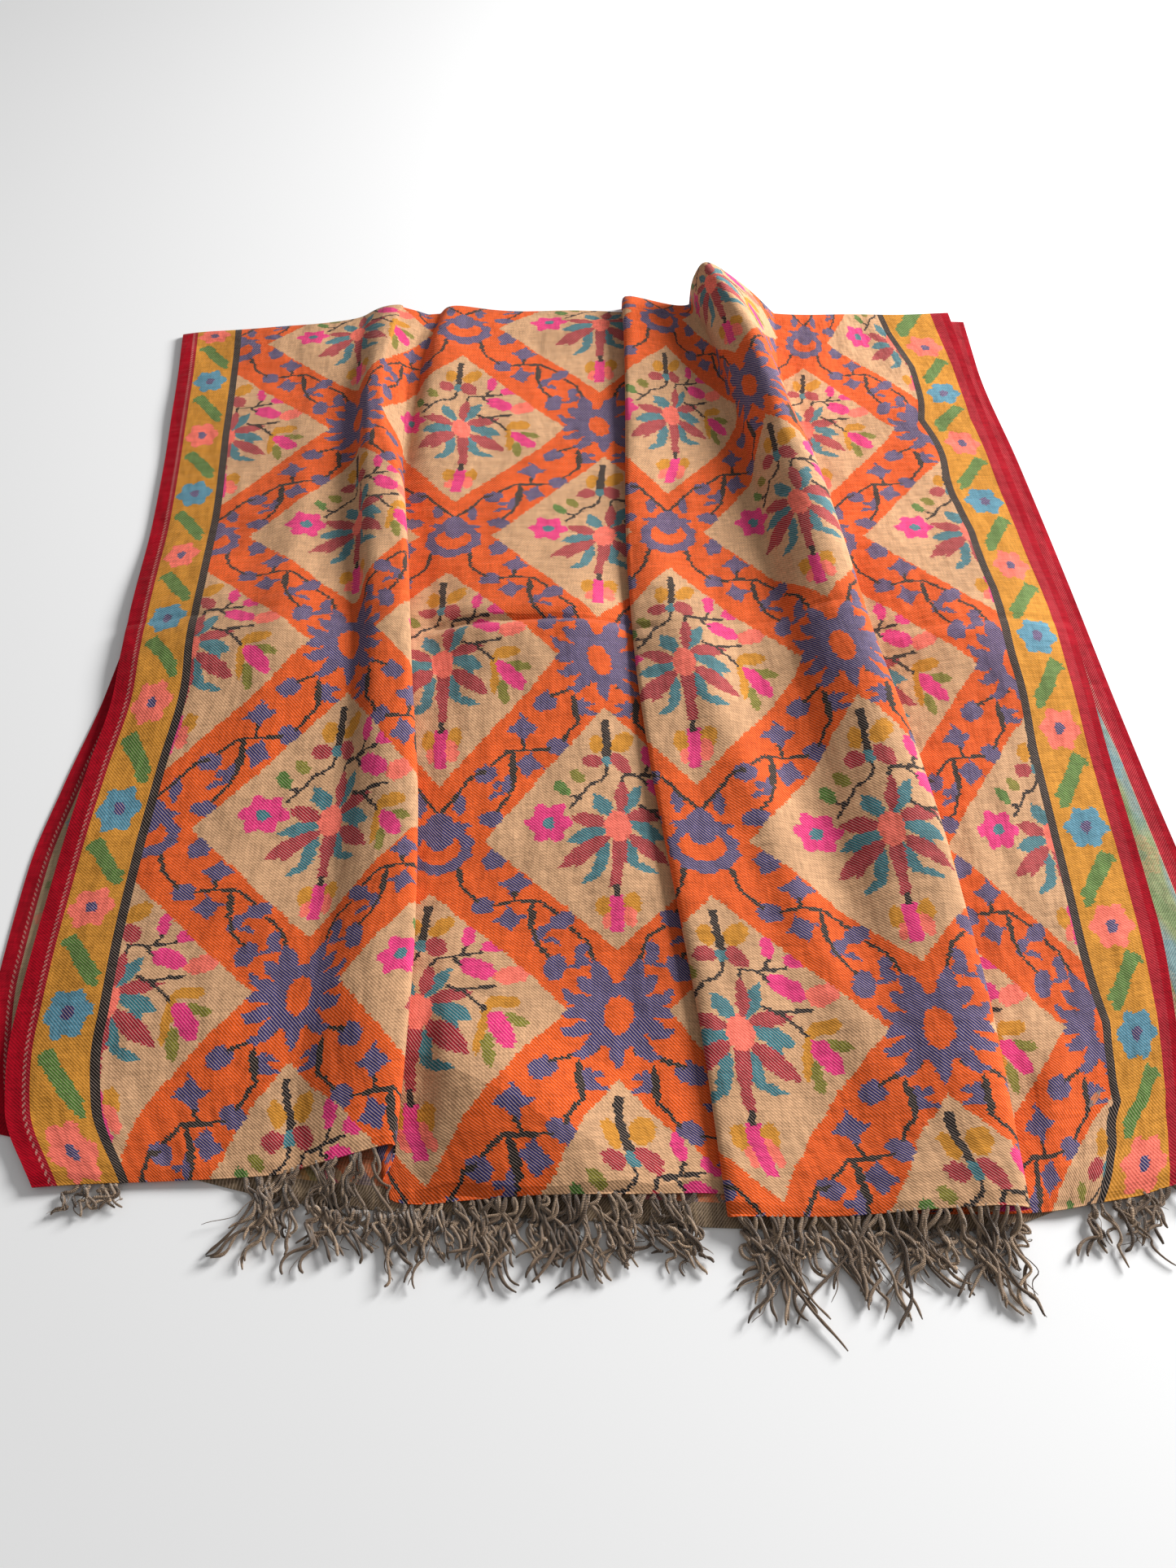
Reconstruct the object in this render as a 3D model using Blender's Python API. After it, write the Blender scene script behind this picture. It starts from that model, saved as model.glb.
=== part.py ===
"""A kani shawl folded once in half and laid flat, its upper half gathered by pleats.

One woven panel, 1.02 m wide and 1.83 m long with a fringe at each end, is folded
across its middle. The fold is at the back (+Y) and both fringed ends are at the
front (-Y). The upper half is a thin wall with three pleats: a standing pleat on the
left, a flat pleat in the middle, and a great slanting fold on the right that rises
towards the back. The lower half, with the layers hidden in it, is one flat solid
whose borders show beyond the upper half. Units are metres, +Z is up, and the
origin is under the middle of the whole shawl.
"""

import math
from collections import namedtuple

import bmesh
import bpy
import numpy as np

MM = 0.001

# Driving sizes of the cloth
WALL = 0.0012             # thickness of the upper half's wall
LAYER = 0.0026            # rise from one folded layer to the next
HALF_LENGTH = 0.907       # from the fringed end to the fold, along the cloth
LOWER_THICK = 0.0026      # the lower half under the upper half
LOWER_MARGIN_THICK = 0.0012  # the lower half's borders where they show
SIDE_STEP = 0.012         # where the lower half thickens, inside its side edges
SIDE_RAMP = 0.008         # how wide that step is
FRONT_STEP = 0.001        # where it thickens behind its fringed end
FRONT_RAMP = 0.004
GAP = 0.0003              # clearance between neighbouring pieces
BED = LOWER_THICK + GAP + 0.5 * WALL  # middle of the wall where the cloth lies flat
FOLD_REACH = 0.016        # how far the rounded fold at the back bulges at most

# Middle of the laid shawl, in the frame of the tables below
CENTRE_X = 0.0124
CENTRE_Y = 0.7168

# Fringe
STRAND = 0.0019           # thickness of a lock of yarn
STRIP_DEPTH = 0.004       # the woven heading that holds the locks
STRIP_THICK = 0.0014
LANE = 0.0054             # distance between neighbouring locks of one end
KNEE_HEIGHT = 0.0041      # where the upper locks bend over the lower heading
UPPER_KNEE = 0.003        # how far in front of its heading an upper lock bends at least
LOWER_KNEE = 0.004        # the same for a lower lock
KNEE_CLEAR = 0.0016       # how far an upper lock's bend lies in front of the lower heading
WAVE_LENGTH = 0.075       # the locks sway together, so that none crosses another
WAVE = 0.0010
LEAN = 0.11               # how much they fan out sideways, for each metre in front of LEAN_FROM
LEAN_FROM = 0.30
LEAN_PERIOD = 0.31        # the fanning turns over along the end

# Fineness of the solids
WRAP_ROWS = 5
ROWS = 22
LOWER_ROWS = 11
LOWER_COLUMNS = 8
OUTLINE_STEP = 6          # between places where the folded end's outline is read

# The tables are in millimetres. "along" is the distance from the fringed end, along the
# cloth, and the other places are x, from the left (-) to the right (+).
Edges = namedtuple("Edges", "along left right lift")
EDGES = (
    Edges(0, -335, 366, 0),
    Edges(50, -364, 374, 0),
    Edges(110, -375, 381, 0),
    Edges(210, -377, 384, 0),
    Edges(330, -375, 385, 3),
    Edges(400, -371, 385, 9),
    Edges(450, -374, 384, 14),
    Edges(500, -377, 381, 9),
    Edges(620, -382, 376, 1),
    Edges(790, -395, 367, 0),
    Edges(907, -407, 364, 0),
)

# The standing pleat: its foot, the width of its wall, its folded edge and its height,
# how far the cloth is tucked under it, and how far that tuck is open (0 to 1).
Standing = namedtuple("Standing", "along foot wall edge height tuck open")
STANDING = (
    Standing(0, -180, 32, -118, 12, 20, 0),
    Standing(110, -180, 32, -117, 11, 20, 0),
    Standing(250, -178, 26, -123, 13, 18, 0),
    Standing(400, -183, 14, -139, 19, 15, 0),
    Standing(520, -193, 9, -151, 22, 12, 0),
    Standing(620, -204, 9, -162, 23, 8, 0.1),
    Standing(720, -216, 10, -174, 20, 2, 0.7),
    Standing(810, -224, 15, -176, 16, 0, 1),
    Standing(907, -226, 22, -164, 10, 0, 1),
)

# The rolled lip of the second panel, which opens beside the standing pleat at the back
Lip = namedtuple("Lip", "along edge height")
LIP = (
    Lip(0, -97, 0),
    Lip(250, -102, 0),
    Lip(450, -124, 0),
    Lip(560, -137, 1),
    Lip(650, -148, 7),
    Lip(750, -156, 11),
    Lip(850, -154, 11),
    Lip(907, -145, 9),
)

# The flat pleat, folded towards the left over the second panel
Flat = namedtuple("Flat", "along edge height tuck")
FLAT = (
    Flat(0, 83, 7, 23),
    Flat(110, 74, 8, 23),
    Flat(210, 62, 9, 24),
    Flat(330, 47, 9, 25),
    Flat(450, 37, 9, 26),
    Flat(580, 33, 10, 27),
    Flat(720, 35, 12, 28),
    Flat(810, 36, 15, 27),
    Flat(907, 35, 18, 25),
)

# The great fold: width of its left flank, how steep that is (0 to 1), its crest and edge
Great = namedtuple("Great", "along flank steep crest edge height tuck open")
GREAT = (
    Great(0, 76, 0.2, 246, 262, 10, 64, 0),
    Great(110, 72, 0.2, 246, 263, 13, 63, 0),
    Great(210, 66, 0.25, 240, 258, 18, 57, 0),
    Great(330, 58, 0.3, 226, 245, 26, 48, 0),
    Great(450, 50, 0.4, 207, 226, 34, 38, 0),
    Great(560, 42, 0.5, 193, 213, 40, 29, 0),
    Great(650, 35, 0.7, 181, 200, 45, 20, 0.05),
    Great(730, 28, 1.0, 167, 186, 48, 8, 0.3),
    Great(810, 24, 1.4, 152, 184, 52, 0, 0.8),
    Great(870, 15, 1.7, 132, 187, 55, 0, 1),
    Great(907, 8, 2.0, 115, 189, 57, 0, 1),
)

# The y of each stretch of the section, from its first to its last point, at the fringed
# end (near) and at the fold (far). A lifted or tucked stretch lags behind its neighbours.
Stretch = namedtuple("Stretch", "near_first near_last far_first far_last")
FIRST_PANEL = Stretch(301, 310, 1179, 1210)
STANDING_RISE = Stretch(314, 326, 1211, 1214)
STANDING_TUCK = Stretch(326, 292, 1215, 1217)
SECOND_PANEL = Stretch(290, 298, 1218, 1220)
FLAT_TUCK = Stretch(297, 281, 1220, 1220)
THIRD_PANEL = Stretch(281, 287, 1220, 1218)
GREAT_TUCK = Stretch(286, 285, 1218, 1216)
FOURTH_PANEL = Stretch(287, 305, 1215, 1216)

# The lower half's outline: its side borders at each y, and its two ends at each x
LowerSide = namedtuple("LowerSide", "y left right")
LOWER_SIDES = (
    LowerSide(300, -340, 427),
    LowerSide(338, -368, 430),
    LowerSide(390, -386, 432),
    LowerSide(450, -396, 430),
    LowerSide(535, -398, 425),
    LowerSide(610, -391, 419),
    LowerSide(700, -380, 411),
    LowerSide(823, -374, 398),
    LowerSide(983, -384, 390),
    LowerSide(1133, -396, 379),
    LowerSide(1215, -401, 383),
)
LowerEnd = namedtuple("LowerEnd", "x near far")
LOWER_ENDS = (
    LowerEnd(-372, 338, 1174),
    LowerEnd(-250, 310, 1200),
    LowerEnd(-160, 291, 1210),
    LowerEnd(0, 282, 1213),
    LowerEnd(110, 277, 1213),
    LowerEnd(230, 276, 1211),
    LowerEnd(320, 300, 1210),
    LowerEnd(430, 312, 1206),
)

# Where locks of yarn show in front of each panel: x from, x to, and their lengths
FringeRun = namedtuple("FringeRun", "panel start stop shortest longest")
UPPER_FRINGE = (
    FringeRun("corner", -321, -286, 26, 36),
    FringeRun("left", -206, -128, 44, 62),
    FringeRun("second", -108, 66, 36, 58),
    FringeRun("third", 88, 254, 44, 79),
    FringeRun("right", 300, 358, 28, 44),
)
LOWER_FRINGE = FringeRun("lower", -188, 266, 26, 60)

# Finishes, from the photograph
Finish = namedtuple("Finish", "colour roughness")
CLOTH = Finish((0.60, 0.34, 0.17), 0.85)
CLOTH_REVERSE = Finish((0.42, 0.10, 0.07), 0.88)
YARN = Finish((0.21, 0.16, 0.12), 0.92)


def clear_scene():
    """Start from an empty scene."""
    for item in list(bpy.data.objects):
        bpy.data.objects.remove(item, do_unlink=True)


def slopes(where, value):
    """Slopes at the rows of a table that never carry a curve past its own rows."""
    step = np.diff(value) / np.diff(where)
    inner = [2 * a * b / (a + b) if a * b > 0 else 0.0 for a, b in zip(step, step[1:])]
    return np.array([step[0], *inner, step[-1]])


def read(table, column, at):
    """A column of a table at one place, on a smooth curve through its rows."""
    where = np.array([row[0] for row in table], float)
    value = np.array([getattr(row, column) for row in table], float)
    slope = slopes(where, value)
    at = min(max(at, where[0]), where[-1])
    i = min(max(int(np.searchsorted(where, at)) - 1, 0), len(where) - 2)
    step = where[i + 1] - where[i]
    t = (at - where[i]) / step
    rise = value[i] * (1 + 2 * t) * (1 - t) ** 2 + value[i + 1] * t * t * (3 - 2 * t)
    return rise + step * (slope[i] * t * (1 - t) ** 2 - slope[i + 1] * t * t * (1 - t))


def spread(points, stretch):
    """Give a run of section points its places at the two ends of the cloth."""
    near = np.linspace(stretch.near_first, stretch.near_last, len(points))
    far = np.linspace(stretch.far_first, stretch.far_last, len(points))
    return [(x, z, *ends) for (x, z), *ends in zip(points, near, far)]


def knife(edge, crest, height, tuck, opened, side):
    """A folded edge: over the edge, back under it, round the tuck and out again.

    side is 1 where the edge faces right and -1 where it faces left. An open fold has
    no layers under it and runs straight down to the panel beside it.
    """
    layer = LAYER / MM
    turn = 2.5
    run = edge - crest
    points = [
        (edge - 0.75 * opened * run, 0.86 * height),
        (edge - 0.35 * opened * run, 0.46 * height + 0.4),
    ]
    under = [(0.15, layer + 0.10 * (height - 2 * layer)), (0.5, layer), (0.85, layer)]
    folded = [(edge - side * share * tuck, z) for share, z in under]
    folded += [(edge - side * (tuck + turn), 0.9 * layer), (edge - side * (tuck + turn), 0.1 * layer)]
    folded += [(edge - side * share * tuck, 0.0) for share in (0.85, 0.5, 0.15)]
    for i, (x, z) in enumerate(folded):
        straight = edge + side * 2.0 * i
        points.append((x + opened * (straight - x), z * (1 - opened * opened)))
    return points


def section(along):
    """The points that steer the crosswise section at one place along the upper half.

    Each is x and height above the bed in millimetres, and the place of that thread
    at the fringed end and at the fold.
    """
    left = read(EDGES, "left", along)
    right = read(EDGES, "right", along)
    lift = read(EDGES, "lift", along)
    foot, wall, edge1, high1, tuck1, open1 = [read(STANDING, c, along) for c in Standing._fields[1:]]
    lip, lip_high = [read(LIP, c, along) for c in Lip._fields[1:]]
    edge2, high2, tuck2 = [read(FLAT, c, along) for c in Flat._fields[1:]]
    flank, steep, crest, edge3, high3, tuck3, open3 = [read(GREAT, c, along) for c in Great._fields[1:]]
    top1 = foot + wall
    foot3 = crest - flank
    valley = 0.35 * high2 + 0.5 * lift
    first = [
        (left, 0.3 * lift),
        (left + 22, 0.4 * lift),
        (left + 0.4 * (foot - left), lift),
        (left + 0.75 * (foot - left), lift),
        (foot - 12, 0.7 * lift),
        (foot, 0.3 * lift),
    ]
    brow1 = edge1 - 4 - 0.5 * open1 * (edge1 - top1)
    rise1 = [
        (foot + 0.4 * wall, 0.55 * high1),
        (top1, 0.97 * high1),
        (0.5 * (top1 + brow1), 1.04 * high1),
        (brow1, high1),
    ]
    second = [
        (lip, 0.75 * lip_high),
        (lip + 12, lip_high + 0.2 * lift),
        (lip + 40, 0.4 * lip_high + 0.8 * lift),
        (0.5 * (lip + edge2), lift),
        (edge2 - 34, lift),
        (edge2 - 10, 0.3 * lift),
    ]
    third = [
        (edge2 + 5, high2),
        (edge2 + 0.35 * (foot3 - edge2), 0.7 * high2 + 0.5 * lift),
        (foot3 - 0.3 * (foot3 - edge2), valley),
        (foot3 - 6, valley),
        (foot3 + 0.1 * flank, valley + 0.06 * high3),
        (crest - (0.5 + 0.5 * steep) * flank, 0.5 * high3 + 0.4 * valley),
        (crest - 0.2 * flank - 2, 0.95 * high3),
        (crest + 2, 1.02 * high3),
    ]
    fourth = [
        (edge3 + 24, 0.2 * lift),
        (edge3 + 0.4 * (right - edge3), 0.8 * lift),
        (edge3 + 0.7 * (right - edge3), lift),
        (right - 22, 0.5 * lift),
        (right, 0.3 * lift),
    ]
    rows = spread(first, FIRST_PANEL)
    rows += spread(rise1, STANDING_RISE)
    rows += spread(knife(edge1, top1, high1, tuck1, open1, 1), STANDING_TUCK)
    rows += spread(second, SECOND_PANEL)
    rows += spread(knife(edge2, edge2 + 5, high2, tuck2, 0, -1)[::-1], FLAT_TUCK)
    rows += spread(third, THIRD_PANEL)
    rows += spread(knife(edge3, crest, high3, tuck3, open3, 1), GREAT_TUCK)
    rows += spread(fourth, FOURTH_PANEL)
    return np.array(rows)


def smooth_ends(steer):
    """Repeat the end points so that the curve reaches the cloth's own edges."""
    first = 2 * steer[0] - steer[1]
    last = 2 * steer[-1] - steer[-2]
    return np.vstack([first, steer, last])


def weave_line(steer):
    """Points of the smooth curve that the steering points pull along, one for each."""
    held = smooth_ends(steer)
    return (held[:-2] + 4 * held[1:-1] + held[2:]) / 6


def middle_surface():
    """The middle of the upper half's wall, as rows of points from the fringe to the floor behind."""
    rows = []
    for k in range(ROWS):
        along = HALF_LENGTH / MM * k / (ROWS - 1)
        x, z, near, far = weave_line(section(along)).T
        y = near + (far - near) * along * MM / HALF_LENGTH
        rows.append(np.column_stack([x, y, z + BED / MM]) * MM)
    top = rows[-1]
    reach = FOLD_REACH * np.tanh(top[:, 2] / FOLD_REACH)
    for k in range(1, WRAP_ROWS + 1):
        turn = 0.5 * math.pi * k / WRAP_ROWS
        y = top[:, 1] + reach * math.sin(turn)
        rows.append(np.column_stack([top[:, 0], y, top[:, 2] * math.cos(turn)]))
    return np.array(rows)


def normals_of(grid):
    """Outward direction of a surface of rows at each of its points."""
    along = np.gradient(grid, axis=0)
    across = np.gradient(grid, axis=1)
    out = np.cross(across, along)
    return out / np.linalg.norm(out, axis=2, keepdims=True)


def place(points):
    """Move points from the frame of the tables to the shawl's own origin."""
    return [(p[0] - CENTRE_X, p[1] - CENTRE_Y, p[2]) for p in points]


def finished(name, vertices, faces, finish):
    """Make one named object with its own material from points and faces."""
    mesh = bpy.data.meshes.new(name)
    mesh.from_pydata(place(vertices), [], faces)
    shape = bmesh.new()
    shape.from_mesh(mesh)
    bmesh.ops.recalc_face_normals(shape, faces=shape.faces)
    shape.to_mesh(mesh)
    shape.free()
    mesh.shade_smooth()
    mesh.set_sharp_from_angle(angle=math.radians(50))
    material = bpy.data.materials.new(name + "_finish")
    material.use_nodes = True
    shader = material.node_tree.nodes["Principled BSDF"]
    shader.inputs["Base Color"].default_value = (*finish.colour, 1.0)
    shader.inputs["Roughness"].default_value = finish.roughness
    shader.inputs["Metallic"].default_value = 0.0
    mesh.materials.append(material)
    made = bpy.data.objects.new(name, mesh)
    bpy.context.collection.objects.link(made)
    return made


def closed_sheet(outer, inner):
    """Vertices and faces of a sheet between two grids of the same size."""
    rows, columns = outer.shape[:2]
    vertices = np.concatenate([outer.reshape(-1, 3), inner.reshape(-1, 3)])
    below = rows * columns

    def at(r, c):
        return r * columns + c

    faces = []
    for r in range(rows - 1):
        for c in range(columns - 1):
            quad = (at(r, c), at(r, c + 1), at(r + 1, c + 1), at(r + 1, c))
            faces.append(quad)
            faces.append(tuple(below + i for i in reversed(quad)))
    rim = [at(0, c) for c in range(columns)]
    rim += [at(r, columns - 1) for r in range(1, rows)]
    rim += [at(rows - 1, c) for c in range(columns - 2, -1, -1)]
    rim += [at(r, 0) for r in range(rows - 2, 0, -1)]
    for a, b in zip(rim, rim[1:] + rim[:1]):
        faces.append((a, below + a, below + b, b))
    return vertices, faces


def upper_half(middle):
    """The pleated upper half and the rounded fold behind it, as one wall."""
    half = 0.5 * WALL * normals_of(middle)
    outer = middle + half
    inner = middle - half
    outer[-1, :, 2] = 0.0
    inner[-1, :, 2] = 0.0
    vertices, faces = closed_sheet(outer, inner)
    return finished("upper_half", vertices, faces, CLOTH)


def lower_thickness(side, front):
    """Thickness of the lower half at distances inside its side and its fringed end."""
    from_side = max((side - SIDE_STEP) / SIDE_RAMP, 0.0)
    from_front = max((front - FRONT_STEP) / FRONT_RAMP, 0.0)
    rise = min(from_side, from_front, 1.0)
    return LOWER_MARGIN_THICK + (LOWER_THICK - LOWER_MARGIN_THICK) * rise * rise * (3 - 2 * rise)


def lower_end(end, x):
    """The y of the lower half's near or far end at one x."""
    return read(LOWER_ENDS, end, x / MM) * MM


def lower_half():
    """The lower half and the layers hidden in it, flat below and thin at its borders."""
    margins = (0.0, SIDE_STEP, SIDE_STEP + 0.5 * SIDE_RAMP, SIDE_STEP + SIDE_RAMP)
    stations = [(0, inset) for inset in margins]
    stations += [(k / LOWER_COLUMNS, 0) for k in range(1, LOWER_COLUMNS)]
    stations += [(1, -inset) for inset in reversed(margins)]
    fronts = (0.0, FRONT_STEP, FRONT_STEP + 0.5 * FRONT_RAMP, FRONT_STEP + FRONT_RAMP)
    rows = [(0, inset) for inset in fronts]
    rows += [(k / LOWER_ROWS, 0) for k in range(1, LOWER_ROWS + 1)]
    top = []
    for reach, front in rows:
        line = []
        for share, inset in stations:
            x = (LOWER_SIDES[0].left + share * (LOWER_SIDES[0].right - LOWER_SIDES[0].left)) * MM
            for _ in range(3):
                near, far = lower_end("near", x), lower_end("far", x)
                y = near + reach * (far - near) + front
                left = read(LOWER_SIDES, "left", y / MM) * MM
                right = read(LOWER_SIDES, "right", y / MM) * MM
                x = left + share * (right - left) + inset
            side = abs(inset) if share in (0, 1) else SIDE_STEP * 2
            line.append((x, y, lower_thickness(side, y - near)))
        top.append(line)
    top = np.array(top)
    bottom = top * (1, 1, 0)
    vertices, faces = closed_sheet(top, bottom)
    return finished("lower_half", vertices, faces, CLOTH_REVERSE)


def sway(lane, y):
    """How far the locks lean sideways at a place, nearly the same for neighbours."""
    wave = WAVE * math.sin(2 * math.pi * (y / WAVE_LENGTH + 1.7 * lane))
    return wave + LEAN * math.sin(2 * math.pi * lane / LEAN_PERIOD) * (LEAN_FROM - y)


def lock_length(run, number):
    """The length of one lock, uneven as in the photograph."""
    uneven = 0.5 + 0.3 * math.sin(2.4 * number) + 0.2 * math.sin(5.3 * number + 1.0)
    return (run.shortest + uneven * (run.longest - run.shortest)) * MM


def lock_rings(lane, start_y, knee, length):
    """Rings of a lock from its first bend down to the floor, and the point of its tip.

    knee is the bend's y and z. A lock of the upper end bends there over the lower one.
    """
    rest = 0.5 * STRAND + GAP
    left = length - (start_y - knee[0])
    path = [(knee[0], knee[1], 1.0), (knee[0] - 0.35 * left, rest, 0.95), (knee[0] - 0.7 * left, rest, 0.8)]
    rings = []
    for y, z, thick in path:
        half = 0.5 * STRAND * thick
        x = lane + sway(lane, y)
        low, high = z - half, z + half
        rings.append([(x - half, y, high), (x - half, y, low), (x + half, y, low), (x + half, y, high)])
    end = knee[0] - left
    return rings, (lane + sway(lane, end), end, rest)


def heading_corners(x, front_of):
    """The four corners of a heading's cross-section at x."""
    y, z = front_of(x)
    front = y - STRIP_DEPTH
    low, high = z - 0.5 * STRIP_THICK, z + 0.5 * STRIP_THICK
    return [(x, front, high), (x, front, low), (x, y, low), (x, y, high)]


def fringe(run, front_of, knee_of, offset):
    """A narrow heading along a panel's end, with its locks of yarn growing out of it."""
    first = math.ceil(run.start * MM / LANE)
    lanes = [(k + offset) * LANE for k in range(first, int(run.stop * MM / LANE))]
    roots = [lane + sway(lane, front_of(lane)[0] - STRIP_DEPTH) for lane in lanes]
    places = [roots[0] - 0.5 * LANE]
    for x in roots:
        places += [x - 0.5 * STRAND, x + 0.5 * STRAND]
    places.append(roots[-1] + 0.5 * LANE)
    vertices, faces = [], []
    for x in places:
        vertices += heading_corners(x, front_of)
    last = len(places) - 1
    faces.append((0, 1, 2, 3))
    faces.append((4 * last + 3, 4 * last + 2, 4 * last + 1, 4 * last))
    for i in range(last):
        a, b = 4 * i, 4 * i + 4
        for k in (1, 2, 3):
            n = (k + 1) % 4
            faces.append((a + k, b + k, b + n, a + n))
        if i % 2 == 0:
            faces.append((a, b, b + 1, a + 1))
            continue
        ring = [a, a + 1, b + 1, b]
        lane = lanes[i // 2]
        start_y = vertices[a][1]
        rings, tip = lock_rings(lane, start_y, knee_of(lane), lock_length(run, round(lane / LANE)))
        for corners in rings:
            fresh = list(range(len(vertices), len(vertices) + 4))
            vertices += corners
            for k in range(4):
                n = (k + 1) % 4
                faces.append((ring[k], ring[n], fresh[n], fresh[k]))
            ring = fresh
        vertices.append(tip)
        for k in range(4):
            faces.append((ring[k], ring[(k + 1) % 4], len(vertices) - 1))
    return finished("fringe_" + run.panel, vertices, faces, YARN)


def upper_outline(end, run):
    """The upper outline of the folded end above one run of fringe, from left to right."""
    line = []
    beyond = 2 * OUTLINE_STEP
    for x in np.arange(run.start - beyond, run.stop + beyond, OUTLINE_STEP) * MM:
        crossings = []
        for a, b in zip(end, end[1:]):
            if (a[0] - x) * (b[0] - x) <= 0 and a[0] != b[0]:
                crossings.append(a + (b - a) * (x - a[0]) / (b[0] - a[0]))
        if crossings:
            line.append(max(crossings, key=lambda point: point[2]))
    return np.array(line)


def upper_fringes(middle):
    """The upper end's fringe, a heading for each panel between the pleats."""
    for run in UPPER_FRINGE:
        line = upper_outline(middle[0], run)

        def front_of(x, line=line):
            y = np.interp(x, line[:, 0], line[:, 1]) - GAP
            return y, np.interp(x, line[:, 0], line[:, 2])

        def knee_of(lane, front_of=front_of):
            over_lower = lower_end("near", lane) - GAP - STRIP_DEPTH - KNEE_CLEAR
            own = front_of(lane)[0] - STRIP_DEPTH - UPPER_KNEE
            return min(over_lower, own), KNEE_HEIGHT

        fringe(run, front_of, knee_of, 0.0)


def lower_fringe():
    """The lower end's fringe, in one heading along its edge."""

    def front_of(x):
        return lower_end("near", x) - GAP, GAP + 0.5 * STRIP_THICK

    def knee_of(lane):
        return front_of(lane)[0] - STRIP_DEPTH - LOWER_KNEE, 0.5 * STRAND + GAP

    fringe(LOWER_FRINGE, front_of, knee_of, 0.5)


def build():
    """Make the whole shawl."""
    clear_scene()
    middle = middle_surface()
    upper_half(middle)
    lower_half()
    upper_fringes(middle)
    lower_fringe()


build()
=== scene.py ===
"""Looks of a kani shawl that lies folded once in half, its upper half gathered by pleats.

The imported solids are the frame. The two halves of the cloth are thin shells on the
forms of their solids, woven all over with a chart of motifs that is worked out in
cloth coordinates, and each run of fringe is a row of loose, curly locks of yarn.
"""
import logging
import math
from dataclasses import dataclass
from enum import Enum
from typing import Any, NamedTuple, Sequence

import bpy
import numpy as np
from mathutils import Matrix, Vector


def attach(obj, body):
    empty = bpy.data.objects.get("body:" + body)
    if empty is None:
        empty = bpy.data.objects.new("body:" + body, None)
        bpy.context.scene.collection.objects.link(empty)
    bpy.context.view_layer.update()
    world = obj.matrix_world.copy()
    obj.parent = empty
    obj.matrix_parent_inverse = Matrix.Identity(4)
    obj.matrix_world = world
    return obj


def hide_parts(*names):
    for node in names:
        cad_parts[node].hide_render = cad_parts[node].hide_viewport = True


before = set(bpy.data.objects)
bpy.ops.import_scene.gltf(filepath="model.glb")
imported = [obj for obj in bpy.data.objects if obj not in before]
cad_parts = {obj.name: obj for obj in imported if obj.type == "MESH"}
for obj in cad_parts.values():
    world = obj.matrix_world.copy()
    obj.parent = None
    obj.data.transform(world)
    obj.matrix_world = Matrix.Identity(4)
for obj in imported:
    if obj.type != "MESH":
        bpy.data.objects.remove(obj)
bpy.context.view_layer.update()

LOG = logging.getLogger("kani_shawl")
MM = 0.001
BODY = "root"
CLOTH_MAP = "cloth"

Point = tuple[float, float]
Colour = tuple[float, float, float, float]


# Sizes of the cloth, in millimetres as in the part's own source

WALL = 1.2
LAYER = 2.6                # two walls that lie on each other
HALF_LENGTH = 907.0
LOWER_THICK = 2.6
LOWER_MARGIN_THICK = 1.2
SIDE_STEP = 12.0           # from the lower half's side to where it grows thicker
SIDE_RAMP = 8.0
FRONT_STEP = 1.0           # the same from its fringed end
FRONT_RAMP = 4.0
BED = LOWER_THICK + 0.9    # height of the upper wall's middle where it lies flat
FOLD_REACH = 16.0          # how far the rounded fold stands out at the back
CENTRE = (12.4, 716.8)     # the part's own origin, seen from the camera
CLOTH_WIDTH = 1020.0
TURN = 2.5                 # from the end of a tuck to the middle of its bend
OPEN_STEP = 2.0            # between the points of a tuck that is drawn out straight


class Table:
    """A short table with named columns, whose first column is the place of each row."""

    def __init__(self, columns: str, *rows: tuple[float, ...]) -> None:
        """Keep the columns' names and the rows."""
        self.names = columns.split()
        self.rows = np.array(rows, float)

    def read(self, name: str, at: np.ndarray | float) -> np.ndarray:
        """Read a column on a smooth curve through its rows that never passes them.

        Args:
            name: The column to read.
            at: One or more places.

        Returns:
            The values there.
        """
        where = self.rows[:, 0]
        value = self.rows[:, self.names.index(name)]
        rate = np.diff(value) / np.diff(where)
        inner = [2 * a * b / (a + b) if a * b > 0 else 0.0 for a, b in zip(rate, rate[1:])]
        slope = np.array([rate[0], *inner, rate[-1]])
        at = np.clip(at, where[0], where[-1])
        i = np.clip(np.searchsorted(where, at) - 1, 0, len(where) - 2)
        step = where[i + 1] - where[i]
        t = (at - where[i]) / step
        rise = value[i] * (1 + 2 * t) * (1 - t) ** 2 + value[i + 1] * t * t * (3 - 2 * t)
        return rise + step * (slope[i] * t * (1 - t) ** 2 - slope[i + 1] * t * t * (1 - t))

    def row_at(self, at: float) -> list[float]:
        """Every column but the first, read at one place."""
        return [float(self.read(name, at)) for name in self.names[1:]]


# Side edges of the upper half, and how far its panels are lifted
EDGES = Table(
    "along left right lift",
    (0, -335, 366, 0),
    (50, -364, 374, 0),
    (110, -375, 385, 0),
    (190, -377, 393, 0),
    (330, -375, 394, 3),
    (400, -371, 394, 9),
    (450, -374, 394, 14),
    (500, -377, 392, 9),
    (620, -382, 385, 1),
    (790, -395, 373, 0),
    (907, -407, 368, 0),
)
# The standing pleat, whose tuck is drawn out straight where open is 1
STANDING = Table(
    "along foot wall edge height tuck open",
    (0, -180, 32, -118, 7, 3, 0),
    (60, -180, 32, -117, 10, 19, 0),
    (110, -180, 32, -117, 11, 20, 0),
    (250, -178, 26, -123, 13, 18, 0),
    (400, -183, 14, -139, 19, 15, 0),
    (520, -193, 9, -151, 22, 12, 0),
    (620, -204, 9, -162, 23, 8, 0.1),
    (720, -216, 10, -174, 20, 2, 0.7),
    (810, -224, 15, -176, 16, 0, 1),
    (907, -226, 22, -164, 10, 0, 1),
)
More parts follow.
